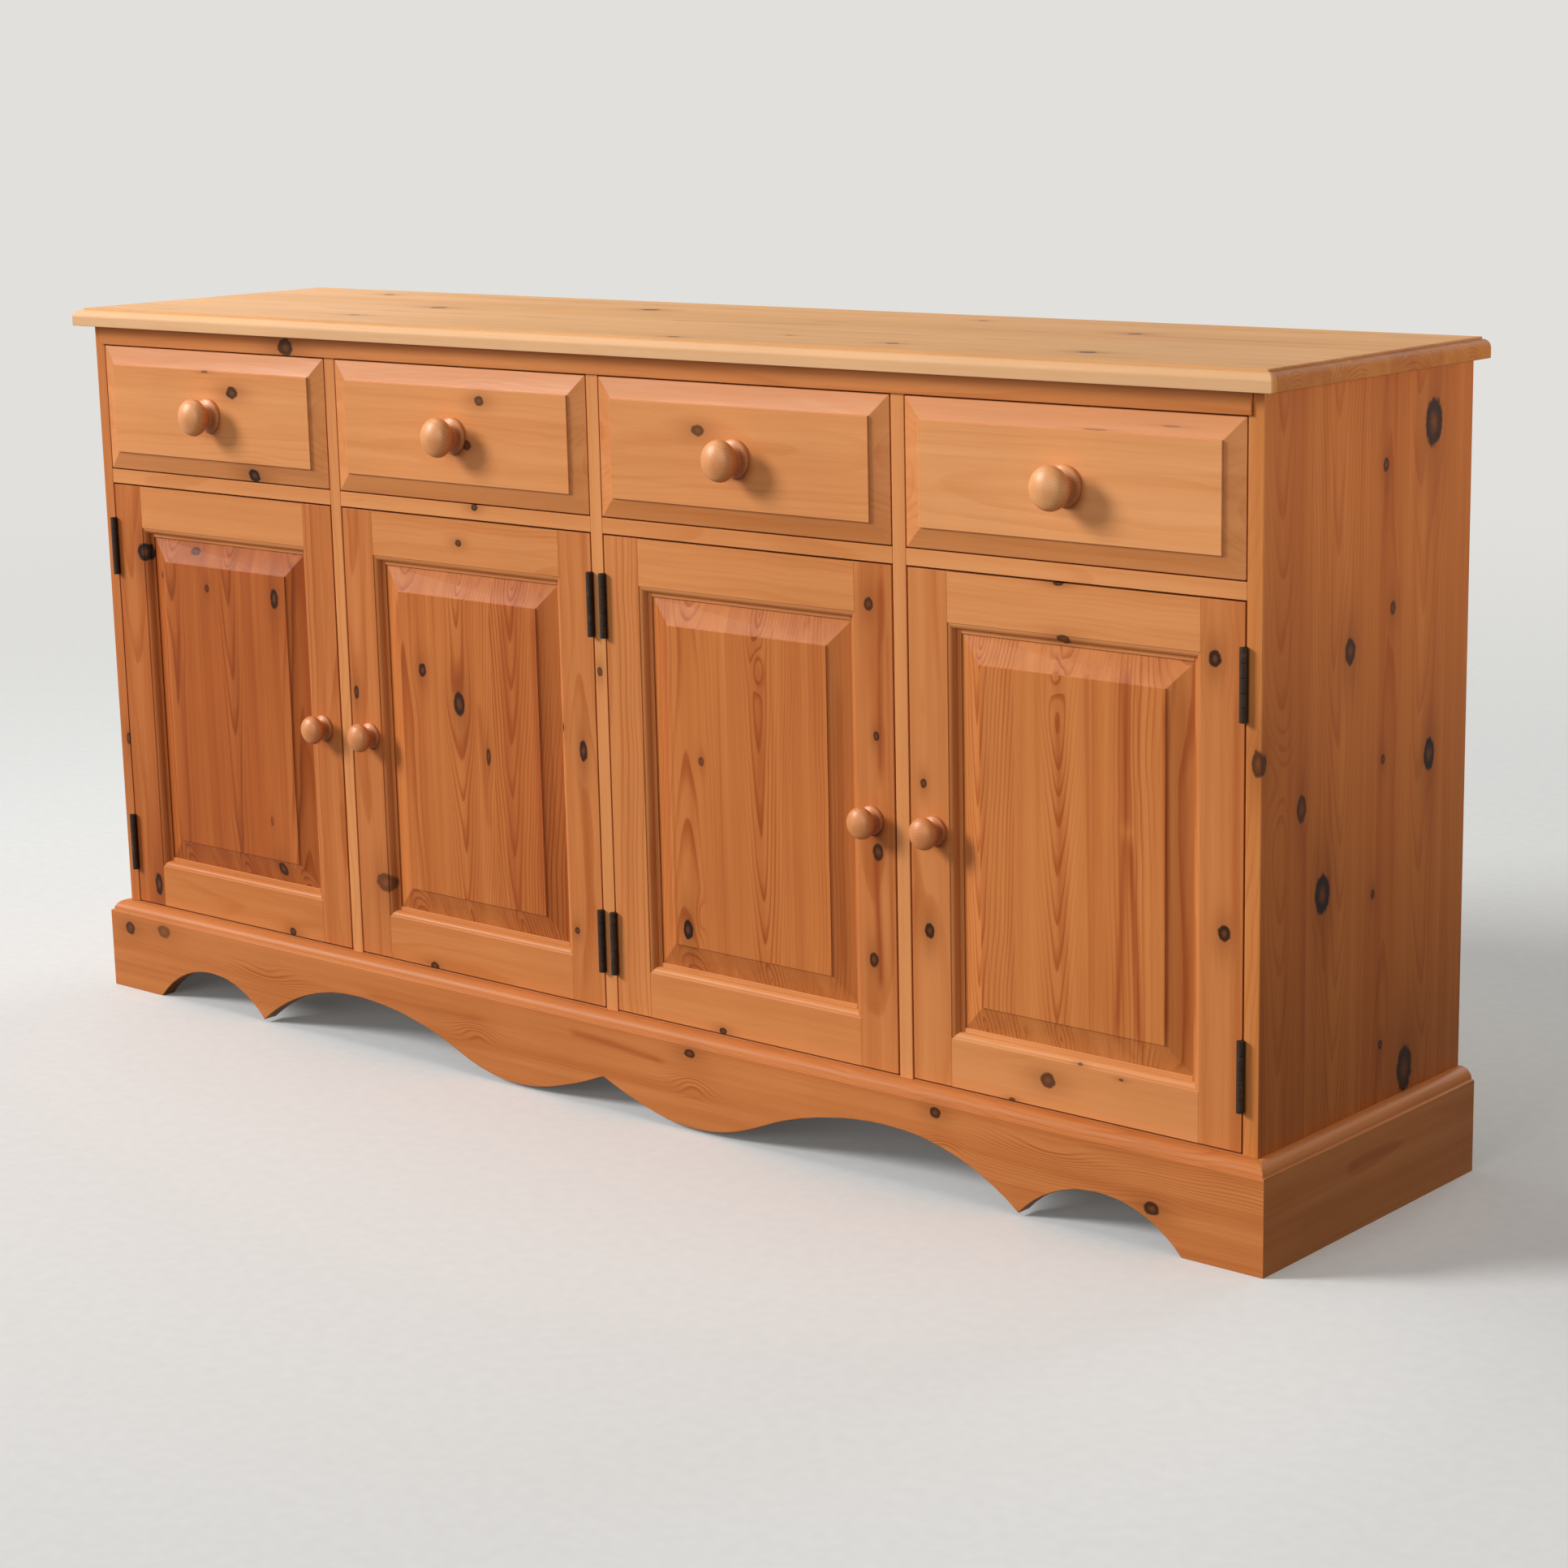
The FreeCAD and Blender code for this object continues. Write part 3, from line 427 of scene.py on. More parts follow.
STREAKS = listed(Streak, {
    "top_board": [(8, -60, 200, 5, 28, 0.45), (-40, -620, -300, 4, 6, 0.35)],
    "door_2_panel": [
        (-160, 600, 190, 9, 4, 0.55), (-108, 600, 190, 7, 2, 0.75), (-205, 470, 300, 5, 10, 0.5),
    ],
    "door_3_panel": [(96, 600, 190, 4, 0, 0.4), (350, 560, 200, 5, 0, 0.45), (246, 560, 400, 6, -6, 0.5)],
    "door_3_stile_right": [
        (416, 676, 430, 5, -4, 0.85), (406, 380, 200, 5, 2, 0.9), (424, 640, 140, 3, 4, 0.45),
    ],
    "door_4_panel": [
        (735, 604, 425, 6, 0, 0.9), (732, 440, 200, 4, -11, 0.85), (738, 440, 190, 4.5, 13, 0.9),
        (782, 600, 190, 3, 0, 0.8), (648, 560, 260, 4, 4, 0.45), (800, 604, 180, 7, 0, 0.4),
    ],
    "door_4_stile_right": [(866, 600, 330, 4, 0, 0.35)],
    "plinth_front": [(86, -60, 110, 4, -9, 0.75), (70, -420, -180, 4, 6, 0.4)],
    "side_panel_right": [(-96, 458, 180, 3.5, 4, 0.55), (-58, 350, 280, 3, 2, 0.5)],
})


def by_stave(across, staves, part):
    """A stave's own value at each place across the board."""
    found = getattr(staves[0], part)
    for last, stave in zip(staves, staves[1:]):
        change = getattr(stave, part) - getattr(last, part)
        if change:
            found = found + across.over(stave.edge * MM) * change
    return found


def from_middle(finish, face, mark):
    """How far a point lies from a mark's middle, in half widths and half heights of the mark."""
    centre = Vector((mark.across, mark.along, mark.through)) * MM
    size = Vector((1 / mark.wide, 1 / mark.tall, 1 / mark.thick if mark.thick else 0)) / MM
    return finish.vectors("MULTIPLY_ADD", face, size, -centre * size)


def fading(finish, spot):
    """1 at the middle of a mark, and less and less further out."""
    return (1 / math.e) ** finish.vectors("DOT_PRODUCT", spot, spot, output="Value")


def knot_marks(finish, face, across, knots, wobble):
    """What a board's knots do: how far they push the rings aside, how dark they are, how far inside a knot
    a point lies, and the stain round it."""
    push, core, inside, stain = 0.0, 0.0, 1.0, 0.0
    for knot in knots:
        spot = from_middle(finish, face, knot)
        out = finish.vectors("LENGTH", spot, output="Value") + wobble
        core = finish.band(out, *KNOT_RIM, 0.0, knot.dark).most(core)
        inside = out.least(inside)
        near = fading(finish, finish.vectors("MULTIPLY", spot, KNOT_REACH))
        push = (across - knot.across * MM) * near * KNOT_PUSH + push
        stain = near * near * (KNOT_STAIN * knot.dark) + stain
    return push, core, inside, stain


def streak_marks(finish, across, along, streaks, wander, broken):
    """How strongly resin reddens the wood."""
    red = 0.0
    for streak in streaks:
        length = streak.end - streak.start
        went = (along - streak.start * MM) * (1 / (length * MM))
        u = (across + wander - went * (streak.drift * MM) - streak.across * MM) * (1 / (streak.wide * MM))
        ends = finish.band(went, 0.0, STREAK_FULL[0]) * finish.band(went, 1.0, STREAK_FULL[1])
        red = (math.e ** (u * u * -1.0) * ends * broken * streak.strong).most(red)
    return red


def pine(name, grain, staves, look, knots=(), streaks=(), swirls=()):
    """Pine with rings, streaks and knots. grain names the axes along, across and through the board."""
    finish = new_finish(f"{name}_wood")
    axes = finish.place()
    along, across, through = (axes[axis] for axis in grain)
    face = finish.join(across, along, through)
    heart, deep, taper, tone = (by_stave(across, staves, part) for part in Stave._fields[1:])
    wood = finish.join(across, through, along + heart * STAVE_SHIFT)

    bowed = across
    if knots:
        wobble = finish.swing(wood, scales=(200, 200, 120), strength=0.6, detail=FINE)
        push, core, inside, stain = knot_marks(finish, face, across, knots, wobble)
        bowed = across - push
    wander = finish.swing(wood, scales=(1.0, 1.0, 4.0), strength=22 * MM)
    side = bowed + wander - heart * MM
    depth = through - deep * MM
    sway = finish.swing(wood, scales=(4.5, 4.5, 1.7), strength=30 * MM)
    ripple = finish.swing(wood, scales=(38, 38, 9), strength=2.4 * MM)
    reach = (side * side + depth * depth) ** 0.5 + sway + ripple + along * taper
    bulge = 0.0
    for swirl in swirls:
        near = fading(finish, from_middle(finish, face, swirl))
        reach = near * (swirl.lift * MM) + reach
        bulge = near.most(bulge)
    uneven = finish.noise(finish.join(reach, 0.0, 0.0), scales=(40, 1, 1)) * UNEVEN
    late = finish.ramp((reach * (1 / (look.pitch * MM)) + uneven).part(), RING_STOPS)
    bold = finish.band(finish.noise(wood, scales=(15, 15, 0.9)), start=0.44, end=0.74, low=0.06)
    bold = (math.e ** (side * side * -HEART_REACH)).most(bold).most(bulge)

    streak = finish.swing(wood, scales=(55, 55, 1.3), strength=look.streaks, detail=FINE)
    fibre = finish.swing(wood, scales=(800, 800, 20))
    vein = finish.noise(wood, scales=(100, 100, 0.9))
    vein = finish.band(vein, start=0.60, end=0.72, high=look.veins)
    level = late * bold * look.rings + streak + fibre * FIBRE + tone
    # The top's moulded ends: darker end grain, and painted shade.
    if name in ENDS:
        start, front = ENDS[name]
        out = (along * along) ** 0.5
        out = out.least(out + across - front)
        level = finish.band(out, start, start + END_FADE, 0.0, END_GRAIN_AND_SHADE_TONE) + level
    # Painted shade on the bevels of a fielded drawer front.
    if name in SHADED_BEVELS:
        plane, bevel_shade = SHADED_BEVELS[name]
        level = finish.band(through, plane + BEVEL_START, plane + BEVEL_END, 0.0, bevel_shade) + level
    colour = finish.mix(vein, finish.ramp(level, look.stops), VEIN)
    if streaks:
        broken = finish.noise(wood, scales=(260, 260, 9), detail=FINE) * RESIN + LEAST_RESIN
        red = streak_marks(finish, across, along, streaks, (wander + ripple) * RESIN_WANDER, broken)
        colour = finish.mix(red, colour, VEIN)
    if knots:
        colour = finish.mix(stain, colour, HALO)
        colour = finish.mix(core, colour, finish.ramp(inside, KNOT_STOPS))
    cloud = finish.noise(finish.spot(), scales=(5, 5, 5), detail=FINE)
    colour = finish.mix(1.0, colour, finish.ramp(cloud, PATINA_STOPS), "MULTIPLY")

    sheen = fibre * DULL_FIBRE + cloud * DULL_CLOUD - late * LATE_SHINE + (look.rough - DULL_CLOUD / 2)
    relief = late * bold * RING_RELIEF + fibre
    return finish.end({
        "Base Color": colour,
        "Roughness": sheen,
        "Normal": finish.bump(relief, strength=0.25, distance=0.2 * MM),
        "Coat Weight": look.wax,
        "Coat Roughness": 0.3,
        "Specular IOR Level": 0.10,
    })


# Metal, plastic and turned wood.


def hinge_iron():
    """Dark bronzed iron, rubbed paler in places."""
    finish = new_finish("hinge_iron")
    spot = finish.spot()
    mottle = finish.noise(spot, scales=(160, 160, 90), detail=4.0, rough=0.6)
    scratch = finish.noise(spot, scales=(900, 900, 120))
    stops = tints((0.3, 0.55, 0.78), (32, 22, 16), (50, 35, 25), (92, 66, 46))
    return finish.end({
        "Base Color": finish.ramp(mottle, stops),
        "Metallic": finish.band(mottle, start=0.45, end=0.75, low=0.2, high=0.65),
        "Roughness": scratch * 0.25 + 0.42,
        "Normal": finish.bump(scratch + mottle, strength=0.2, distance=0.15 * MM),
        "Specular IOR Level": 0.3,
    })


def bright_steel():
    """Zinc-plated steel, a little dulled."""
    finish = new_finish("bright_steel")
    spot = finish.spot()
    dull = finish.noise(spot, scales=(220, 220, 220), detail=FINE)
    brushed = finish.noise(spot, scales=(60, 900, 1800))
    stops = tints((0.3, 0.7), (172, 172, 168), (208, 207, 202))
    return finish.end({
        "Base Color": finish.ramp(dull, stops),
        "Metallic": 1.0,
        "Roughness": brushed * 0.2 + 0.28,
        "Normal": finish.bump(brushed, strength=0.1, distance=0.05 * MM),
    })


def catch_plastic():
    """Matt brown moulded plastic."""
    finish = new_finish("catch_plastic")
    grain = finish.noise(finish.spot(), scales=(1400, 1400, 1400))
    stops = tints((0.3, 0.7), (98, 62, 38), (112, 73, 46))
    return finish.end({
        "Base Color": finish.ramp(grain, stops),
        "Roughness": grain * 0.15 + 0.48,
        "Normal": finish.bump(grain, strength=0.15, distance=0.05 * MM),
    })


# How far a knob's heart lies from its axis, in radii of its head: aside, and above or below.
KNOB_HEART_ASIDE = 1.2
KNOB_HEART_OFF = (0.8, 1.6)
KNOB_SWAY = 4 * MM
KNOB_PITCH = 3.0 * MM
KNOB_RINGS, KNOB_FLECKS, KNOB_CLOUDS = 0.16, 0.25, 0.5
KNOB_STOPS = tints((0.0, 0.35, 0.7, 1.0), (227, 165, 107), (213, 139, 83), (191, 113, 59), (159, 86, 42))


def knob_wood(name, centre, size):
    """Turned wood with end grain on its face: faint rings round the heart, flecks along the axis."""
    finish = new_finish(f"{name}_wood")
    draw = random.Random(name)
    head = size.head * MM
    axes = finish.place()
    x = axes["X"] - (centre.x + draw.uniform(-KNOB_HEART_ASIDE, KNOB_HEART_ASIDE) * head)
    z = axes["Z"] - (centre.z + draw.choice((-1, 1)) * draw.uniform(*KNOB_HEART_OFF) * head)
    spot = finish.spot()
    sway = finish.noise(spot, scales=(60, 25, 60)) * KNOB_SWAY
    reach = (x * x + z * z) ** 0.5 + sway
    late = finish.ramp((reach * (1 / KNOB_PITCH)).part(), RING_STOPS)
    fleck = finish.noise(spot, scales=(900, 110, 900))
    cloud = finish.noise(spot, scales=(45, 45, 45), detail=FINE)
    level = late * KNOB_RINGS + fleck * KNOB_FLECKS + cloud * KNOB_CLOUDS + size.tone
    return finish.end({
        "Base Color": finish.ramp(level, KNOB_STOPS),
        "Roughness": fleck * 0.12 + 0.38,
        "Normal": finish.bump(fleck + late * RING_RELIEF, strength=0.12, distance=0.1 * MM),
        "Coat Weight": 0.10,
        "Coat Roughness": 0.25,
        "Specular IOR Level": 0.35,
    })


# Making pieces.

# Points closer than WELD are one point, and faces that meet at less than FLAT are one face. A turn over
# SHARP is an arris, and so is one over SLIGHT between two faces broader than BROAD.
WELD = 0.002 * MM
FLAT = math.radians(0.5)
SLIGHT = math.radians(5)
SHARP = math.radians(25)
BROAD = 6 * MM
# Turned and cut metal shades crisply at corners over CRISP.
CRISP = math.radians(35)
# How round arrises are, and how much of the edges next to them they may take.
EASE = 0.9 * MM
THIN_EASE = 0.8 * MM
EASE_LIMIT = 0.45
EASE_SEGMENTS = 2


def carried(piece, node):
    """The piece stands for a CAD node, which it hides, and moves as that node does."""
    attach(piece, frame["nodes"][node]["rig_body"])
    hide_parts(node)
    return piece


def new_piece(name, work, material):
    """An object of the scene from a finished bmesh."""
    for face in work.faces:
        face.smooth = True
    mesh = bpy.data.meshes.new(name)
    work.to_mesh(mesh)
    work.free()
    mesh.materials.append(material)
    piece = bpy.data.objects.new(name, mesh)
    bpy.context.scene.collection.objects.link(piece)
    return piece


def islands(work):
    """The faces of each separate solid."""
    work.faces.ensure_lookup_table()
    seen = set()
    for first in work.faces:
        if first.index in seen:
            continue
        seen.add(first.index)
        island = [first]
        for face in island:
            for edge in face.edges:
                for other in edge.link_faces:
                    if other.index not in seen:
                        seen.add(other.index)
                        island.append(other)
        yield island


def span(work):
    """The lowest and highest corner of a bmesh."""
    spots = [vert.co for vert in work.verts]
    low = Vector(min(spot[i] for spot in spots) for i in range(3))
    high = Vector(max(spot[i] for spot in spots) for i in range(3))
    return low, high


def solids(node, order="X"):
    """A CAD node's solids as bmeshes with whole flat faces, in order along an axis."""
    work = bmesh.new()
    work.from_mesh(frame["nodes"][node].data)
    bmesh.ops.remove_doubles(work, verts=work.verts, dist=WELD)
    work.faces.index_update()
    axis = "XYZ".index(order)
    made = []
    for island in islands(work):
        solid = bmesh.new()
        verts = {}
        for face in island:
            for vert in face.verts:
                if vert.index not in verts:
                    verts[vert.index] = solid.verts.new(vert.co)
            solid.faces.new([verts[vert.index] for vert in face.verts])
        bmesh.ops.dissolve_limit(
            solid, angle_limit=FLAT, use_dissolve_boundaries=False, verts=solid.verts, edges=solid.edges
        )
        made.append(solid)
    work.free()
    return sorted(made, key=lambda solid: span(solid)[0][axis] + span(solid)[1][axis])


def boxes(node):
    """The lowest and highest corner of each of a CAD node's solids."""
    found = []
    for solid in solids(node):
        found.append(span(solid))
        solid.free()
    return found


def block(low, high):
    """A rectangular solid, as a bmesh."""
    work = bmesh.new()
    size = Vector(high) - Vector(low)
    middle = Matrix.Translation((Vector(high) + Vector(low)) / 2)
    bmesh.ops.create_cube(work, size=1.0, matrix=middle @ Matrix.Diagonal((*size, 1.0)))
    return work


def merged(parts):
    """Several bmeshes as one."""
    whole = bmesh.new()
    for part in parts:
        mesh = bpy.data.meshes.new("part")
        part.to_mesh(mesh)
        part.free()
        whole.from_mesh(mesh)
        bpy.data.meshes.remove(mesh)
    return whole


def sawn(outline, start, end, axis):
    """A flat outline given thickness from start to end along an axis. The outline's two numbers are the
    other two axes in order."""
    work = bmesh.new()
    rings = []
    for level in (start, end):
        spots = [list(spot) for spot in outline]
        for spot in spots:
            spot.insert("XYZ".index(axis), level)
        rings.append([work.verts.new(spot) for spot in spots])
    work.faces.new(rings[0])
    work.faces.new(reversed(rings[1]))
    for i in range(len(outline)):
        j = (i + 1) % len(outline)
        work.faces.new((rings[0][j], rings[0][i], rings[1][i], rings[1][j]))
    bmesh.ops.recalc_face_normals(work, faces=work.faces)
    return work


def turned(profile, matrix, steps):
    """A profile of (radius, height) turned about its axis, closed at both ends."""
    work = bmesh.new()
    rings = []
    for radius, height in profile:
        if radius < WELD:
            rings.append([work.verts.new((0, 0, height))] * steps)
            continue
        turns = [2 * math.pi * i / steps for i in range(steps)]
        spots = [(radius * math.cos(turn), radius * math.sin(turn), height) for turn in turns]
        rings.append([work.verts.new(spot) for spot in spots])
    for low, high in zip(rings, rings[1:]):
        for i in range(steps):
            j = (i + 1) % steps
            corners = list(dict.fromkeys((low[i], low[j], high[j], high[i])))
            if len(corners) > 2:
                work.faces.new(corners)
    for ring in (rings[0], rings[-1]):
        if ring[0] is not ring[1]:
            work.faces.new(ring)
    bmesh.ops.recalc_face_normals(work, faces=work.faces)
    bmesh.ops.transform(work, matrix=matrix, verts=work.verts)
    return work


def broad(face):
    """Whether a face is a flat of its own, and not one facet of a round."""
    return face.calc_area() / max(edge.calc_length() for edge in face.edges) > BROAD


def eased(work, width):
    """Marks how far each outer arris can be rounded, up to a width, and keeps inner corners crisp."""
    weights = work.edges.layers.float.new("bevel_weight_edge")
    for edge in work.edges:
        if len(edge.link_faces) != 2:
            continue
        turn = edge.calc_face_angle(0.0)
        if turn < SLIGHT or (turn < SHARP and not all(broad(face) for face in edge.link_faces)):
            continue
        if not edge.is_convex:
            edge.smooth = False
            continue
        near = [other for vert in edge.verts for other in vert.link_edges]
        room = EASE_LIMIT * min(other.calc_length() for other in near)
        edge[weights] = min(1.0, room / width)
    return work


def dressed(name, node, work, material, ease):
    """A piece with eased arrises that stands for a CAD node or a part of it."""
    piece = new_piece(name, eased(work, ease), material)
    bevel = piece.modifiers.new("arris", "BEVEL")
    bevel.width = ease
    bevel.segments = EASE_SEGMENTS
    bevel.limit_method = "WEIGHT"
    bevel.use_clamp_overlap = False
    # Broad faces stay flat in the light, and only the narrow rounds between them shade.
    flats = piece.modifiers.new("flats", "WEIGHTED_NORMAL")
    flats.keep_sharp = True
    return carried(piece, node)


# Where the heart, its depth, the taper and the tone of a plain board may lie.
PLAIN_HEART = 0.6
PLAIN_DEEP = (40, 110)
PLAIN_TAPER = 0.02
PLAIN_TONE = (0.27, 0.37)


def plain_stave(name, work, grain):
    """Long easy grain from a heart behind the board, a little different in each board."""
    draw = random.Random(name)
    low, high = span(work)
    _, across, through = ("XYZ".index(axis) for axis in grain)
    middle = (low + high) / (2 * MM)
    width = (high - low)[across] / MM
    heart = middle[across] + draw.uniform(-PLAIN_HEART, PLAIN_HEART) * width
    deep = middle[through] + draw.choice((-1, 1)) * draw.uniform(*PLAIN_DEEP)
    taper = draw.uniform(-PLAIN_TAPER, PLAIN_TAPER)
    # A board's tone may come from the table of painted shade.
    return Stave(0, heart, deep, taper, PAINTED_SHADE_TONES.get(name) or draw.uniform(*PLAIN_TONE))


def board(name, node, work, grain, look, ease=EASE):
    """One board: its wood, its eased arrises and the body that carries it."""
    staves = STAVES.get(name) or [plain_stave(name, work, grain)]
    marks = [table.get(name, ()) for table in (KNOTS, STREAKS, SWIRLS)]
    wood = pine(name, grain, staves, look, *marks)
    return dressed(name, node, work, wood, ease)


def lone_board(node, grain, look, ease=EASE):
    """A board with a CAD node of its own."""
    return board(node, node, solids(node)[0], grain, look, ease)


def boards(node, names, grain, look, order="X"):
    """The boards of a CAD node that holds several."""
    return [board(name, node, work, grain, look) for name, work in zip(names, solids(node, order))]


def shared_wood(name, work, grain):
    """Bare wood for like boards that lie in one plane, so that each shows another stretch of the grain."""
    wood = bpy.data.materials.get(f"{name}_wood")
    return wood or pine(name, grain, [plain_stave(name, work, grain)], BARE)


def strips(node, grain):
    """Bare strips that share a node and a material."""
    whole = merged(solids(node))
    return dressed(node, node, whole, shared_wood(node, whole, grain), THIN_EASE)


# The carcass.

TOP_EASE = 1.1 * MM
PLINTH_EASE = 1.3 * MM


def carcass():
    # The top's finish is paler for a painted sheen.
    lone_board("top_board", "XYZ", TOP_WITH_PAINTED_SHEEN, TOP_EASE)
    # The right side takes the painted-shade copy of the waxed finish.
    for end, look in (("left", WAXED), ("right", SHADED_SIDE)):
        lone_board(f"side_panel_{end}", "ZYX", look)
        lone_board(f"plinth_{end}", "YZX", WAXED, PLINTH_EASE)
    boards("partitions", [f"partition_{i}" for i in (1, 2, 3)], "ZYX", PALE)
    lone_board("bottom_board", "XYZ", WAXED)
    lone_board("top_rail", "XZY", WAXED)
    boards("drawer_rails", [f"drawer_rail_{bay}" for bay in BAYS], "XZY", PALE)
    lone_board("plinth_front", "XZY", PLINTH, PLINTH_EASE)
    for bay, work in zip(BAYS, solids("shelves")):
        dressed(f"shelf_{bay}", "shelves", work, shared_wood("shelves", work, "XYZ"), EASE)
    for node in ("drawer_runners", "drawer_kickers", "shelf_battens"):
        strips(node, "YZX")
    strips("plinth_blocks", "XYZ")
    back_boards()


# The back, and where the heart, its depth, the taper, the tone and the knot of each board may lie.
BACK_BOARDS = 18
BACK_SEAM = 0.15 * MM
BACK_VEE = 1.5 * MM
BACK_HEART = (0.1, 0.9)
BACK_DEEP = (15, 70)
BACK_TAPER = (-0.05, 0.05)
BACK_TONE = (0.22, 0.42)
BACK_KNOT = (0.2, 0.8)
BACK_KNOT_TALL, BACK_KNOT_WIDE = (7, 15), 0.7
BACK_KNOT_DARK = (0.7, 0.95)


def back_boards():
    """Upright boards with a small vee at each joint and a knot in each."""
    low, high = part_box("back_boards")
    width = (high.x - low.x) / BACK_BOARDS
    draw = random.Random("back_boards")
    parts = []
    staves = []
    knots = []
    for i in range(BACK_BOARDS):
        start = low.x + i * width
        end = start + width
        parts.append(block((start + BACK_SEAM, low.y, low.z), (end - BACK_SEAM, high.y, high.z)))
        edge = start / MM
        heart = edge + draw.uniform(*BACK_HEART) * width / MM
        deep = high.y / MM - draw.uniform(*BACK_DEEP)
        staves.append(Stave(edge, heart, deep, draw.uniform(*BACK_TAPER), draw.uniform(*BACK_TONE)))
        tall = draw.uniform(*BACK_KNOT_TALL)
        across = edge + draw.uniform(*BACK_KNOT) * width / MM
        along = draw.uniform(low.z, high.z) / MM
        knots.append(Knot(across, along, tall * BACK_KNOT_WIDE, tall, draw.uniform(*BACK_KNOT_DARK)))
    wood = pine("back_boards", "ZXY", staves, BARE, knots)
    dressed("back_boards", "back_boards", merged(parts), wood, BACK_VEE)


# Doors.

PANEL_EASE = 0.7 * MM


def door(bay):
    """A door without its hinges."""
    name = f"door_{bay}"
    boards(f"{name}_stiles", [f"{name}_stile_{end}" for end in ("left", "right")], "ZXY", WAXED)
    boards(f"{name}_rails", [f"{name}_rail_{end}" for end in ("bottom", "top")], "XZY", PALE, "Z")
    lone_board(f"{name}_panel", "ZXY", PANEL, PANEL_EASE)
    knob(f"{name}_knob", DOOR_KNOB)
    strike_plate(bay)


# Drawers.

TAILS = 4
TAIL_WIDTH = 26 * MM
TAIL_FLARE = 2 * MM
TAIL_LENGTH = 12 * MM
SIDE_THICKNESS = 12 * MM
BACK_SET = 20 * MM
BOTTOM_EASE = 0.5 * MM


def drawer(bay):
    """A fielded front with its knob, on a dovetailed box."""
    name = f"drawer_{bay}"
    lone_board(f"{name}_front", "XZY", PALE, THIN_EASE)
    knob(f"{name}_knob", PAINTED_LIGHT_KNOB if bay == BAYS[-1] else DRAWER_KNOB)
    node = f"{name}_box"
    low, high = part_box(node)
    for end, start in (("left", low.x), ("right", high.x - SIDE_THICKNESS)):
        work = sawn(drawer_side(low, high), start, start + SIDE_THICKNESS, "X")
        board(f"{name}_side_{end}", node, work, "YZX", BARE, THIN_EASE)
    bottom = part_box(f"{name}_bottom")
    back_end = high.y - BACK_SET
    work = block(
        (low.x + SIDE_THICKNESS / 2, back_end - SIDE_THICKNESS, bottom[1].z),
        (high.x - SIDE_THICKNESS / 2, back_end, high.z),
    )
    dressed(f"{name}_back", node, work, shared_wood("drawer_backs", work, "XZY"), THIN_EASE)
    work = block(*bottom)
    wood = shared_wood("drawer_bottoms", work, "XYZ")
    dressed(f"{name}_bottom", f"{name}_bottom", work, wood, BOTTOM_EASE)


def drawer_side(low, high):
    """A drawer side's outline, front to back and up, with its dovetails at the front."""
    shoulder = low.y + TAIL_LENGTH
    pitch = (high.z - low.z) / TAILS
    waist = TAIL_WIDTH / 2 - TAIL_FLARE
    outline = [(high.y, low.z), (shoulder, low.z)]
    for i in range(TAILS):
        centre = low.z + (i + 0.5) * pitch
        outline += [
            (shoulder, centre - waist),
            (low.y, centre - TAIL_WIDTH / 2),
            (low.y, centre + TAIL_WIDTH / 2),
            (shoulder, centre + waist),
        ]
    return [*outline, (shoulder, high.z), (high.y, high.z)]


# Turned knobs: radii and depths in millimetres.
Knob = namedtuple("Knob", "reach head collar neck spigot depth tone")
DRAWER_KNOB = Knob(40, 23.5, 21.5, 13, 8, 18, -0.16)
DOOR_KNOB = Knob(30, 17.75, 16, 9.5, 6, 16, 0.04)
# Drawer 4's knob is paler: painted light at the right end of the front.
PAINTED_LIGHT_KNOB = DRAWER_KNOB._replace(tone=-0.30)
# A knob's outline from the wood out, as shares of its reach or of its head. A round is an arc's radius.
LIP_IN, LIP_UP, LIP_ROUND = 0.05, 0.12, 0.09
HOLLOW_OUT, HOLLOW_UP, HOLLOW_ROUND = 0.06, 0.15, 0.17
NECK_UP = 0.37
HEEL_WIDE, HEEL_UP, HEEL_ROUND = 0.84, 0.46, 0.46
WIDEST_UP, CROWN_ROUND = 0.64, 0.52
CROWN_WIDE, CROWN_UP, DOME_ROUND = 0.80, 0.86, 1.05
ARC_STEPS = 8
KNOB_STEPS = 64
KNOB_CRISP = math.radians(40)


def arc(start, end, radius):
    """Points along the short arc from start to end, without the last. A positive radius bulges outwards."""
    start, end = Vector(start), Vector(end)
    chord = end - start
    rise = math.sqrt(radius * radius - chord.length_squared / 4)
    aside = Vector((-chord.y, chord.x)).normalized()
    centre = (start + end) / 2 + aside * math.copysign(rise, radius)
    first = start - centre
    turn = first.angle_signed(end - centre)
    return [centre + Matrix.Rotation(-turn * i / ARC_STEPS, 2) @ first for i in range(ARC_STEPS)]


def knob_profile(size):
    """A knob's outline as (radius, height above the wood), from the spigot to the tip of the dome."""
    reach, head = size.reach, size.head
    rim = (size.collar, 0)
    lip = (size.collar - reach * LIP_IN, reach * LIP_UP)
    hollow = (size.neck + reach * HOLLOW_OUT, reach * HOLLOW_UP)
    neck = (size.neck, reach * NECK_UP)
    heel = (head * HEEL_WIDE, reach * HEEL_UP)
    widest = (head, reach * WIDEST_UP)
    crown = (head * CROWN_WIDE, reach * CROWN_UP)
    tip = (0, reach)
    return [
        (0, -size.depth),
        (size.spigot, -size.depth),
        (size.spigot, 0),
        *arc(rim, lip, reach * LIP_ROUND),
        lip,
        *arc(hollow, neck, -reach * HOLLOW_ROUND),
        neck,
        *arc(heel, widest, head * HEEL_ROUND),
        *arc(widest, crown, head * CROWN_ROUND),
        *arc(crown, tip, reach * DOME_ROUND),
        tip,
    ]


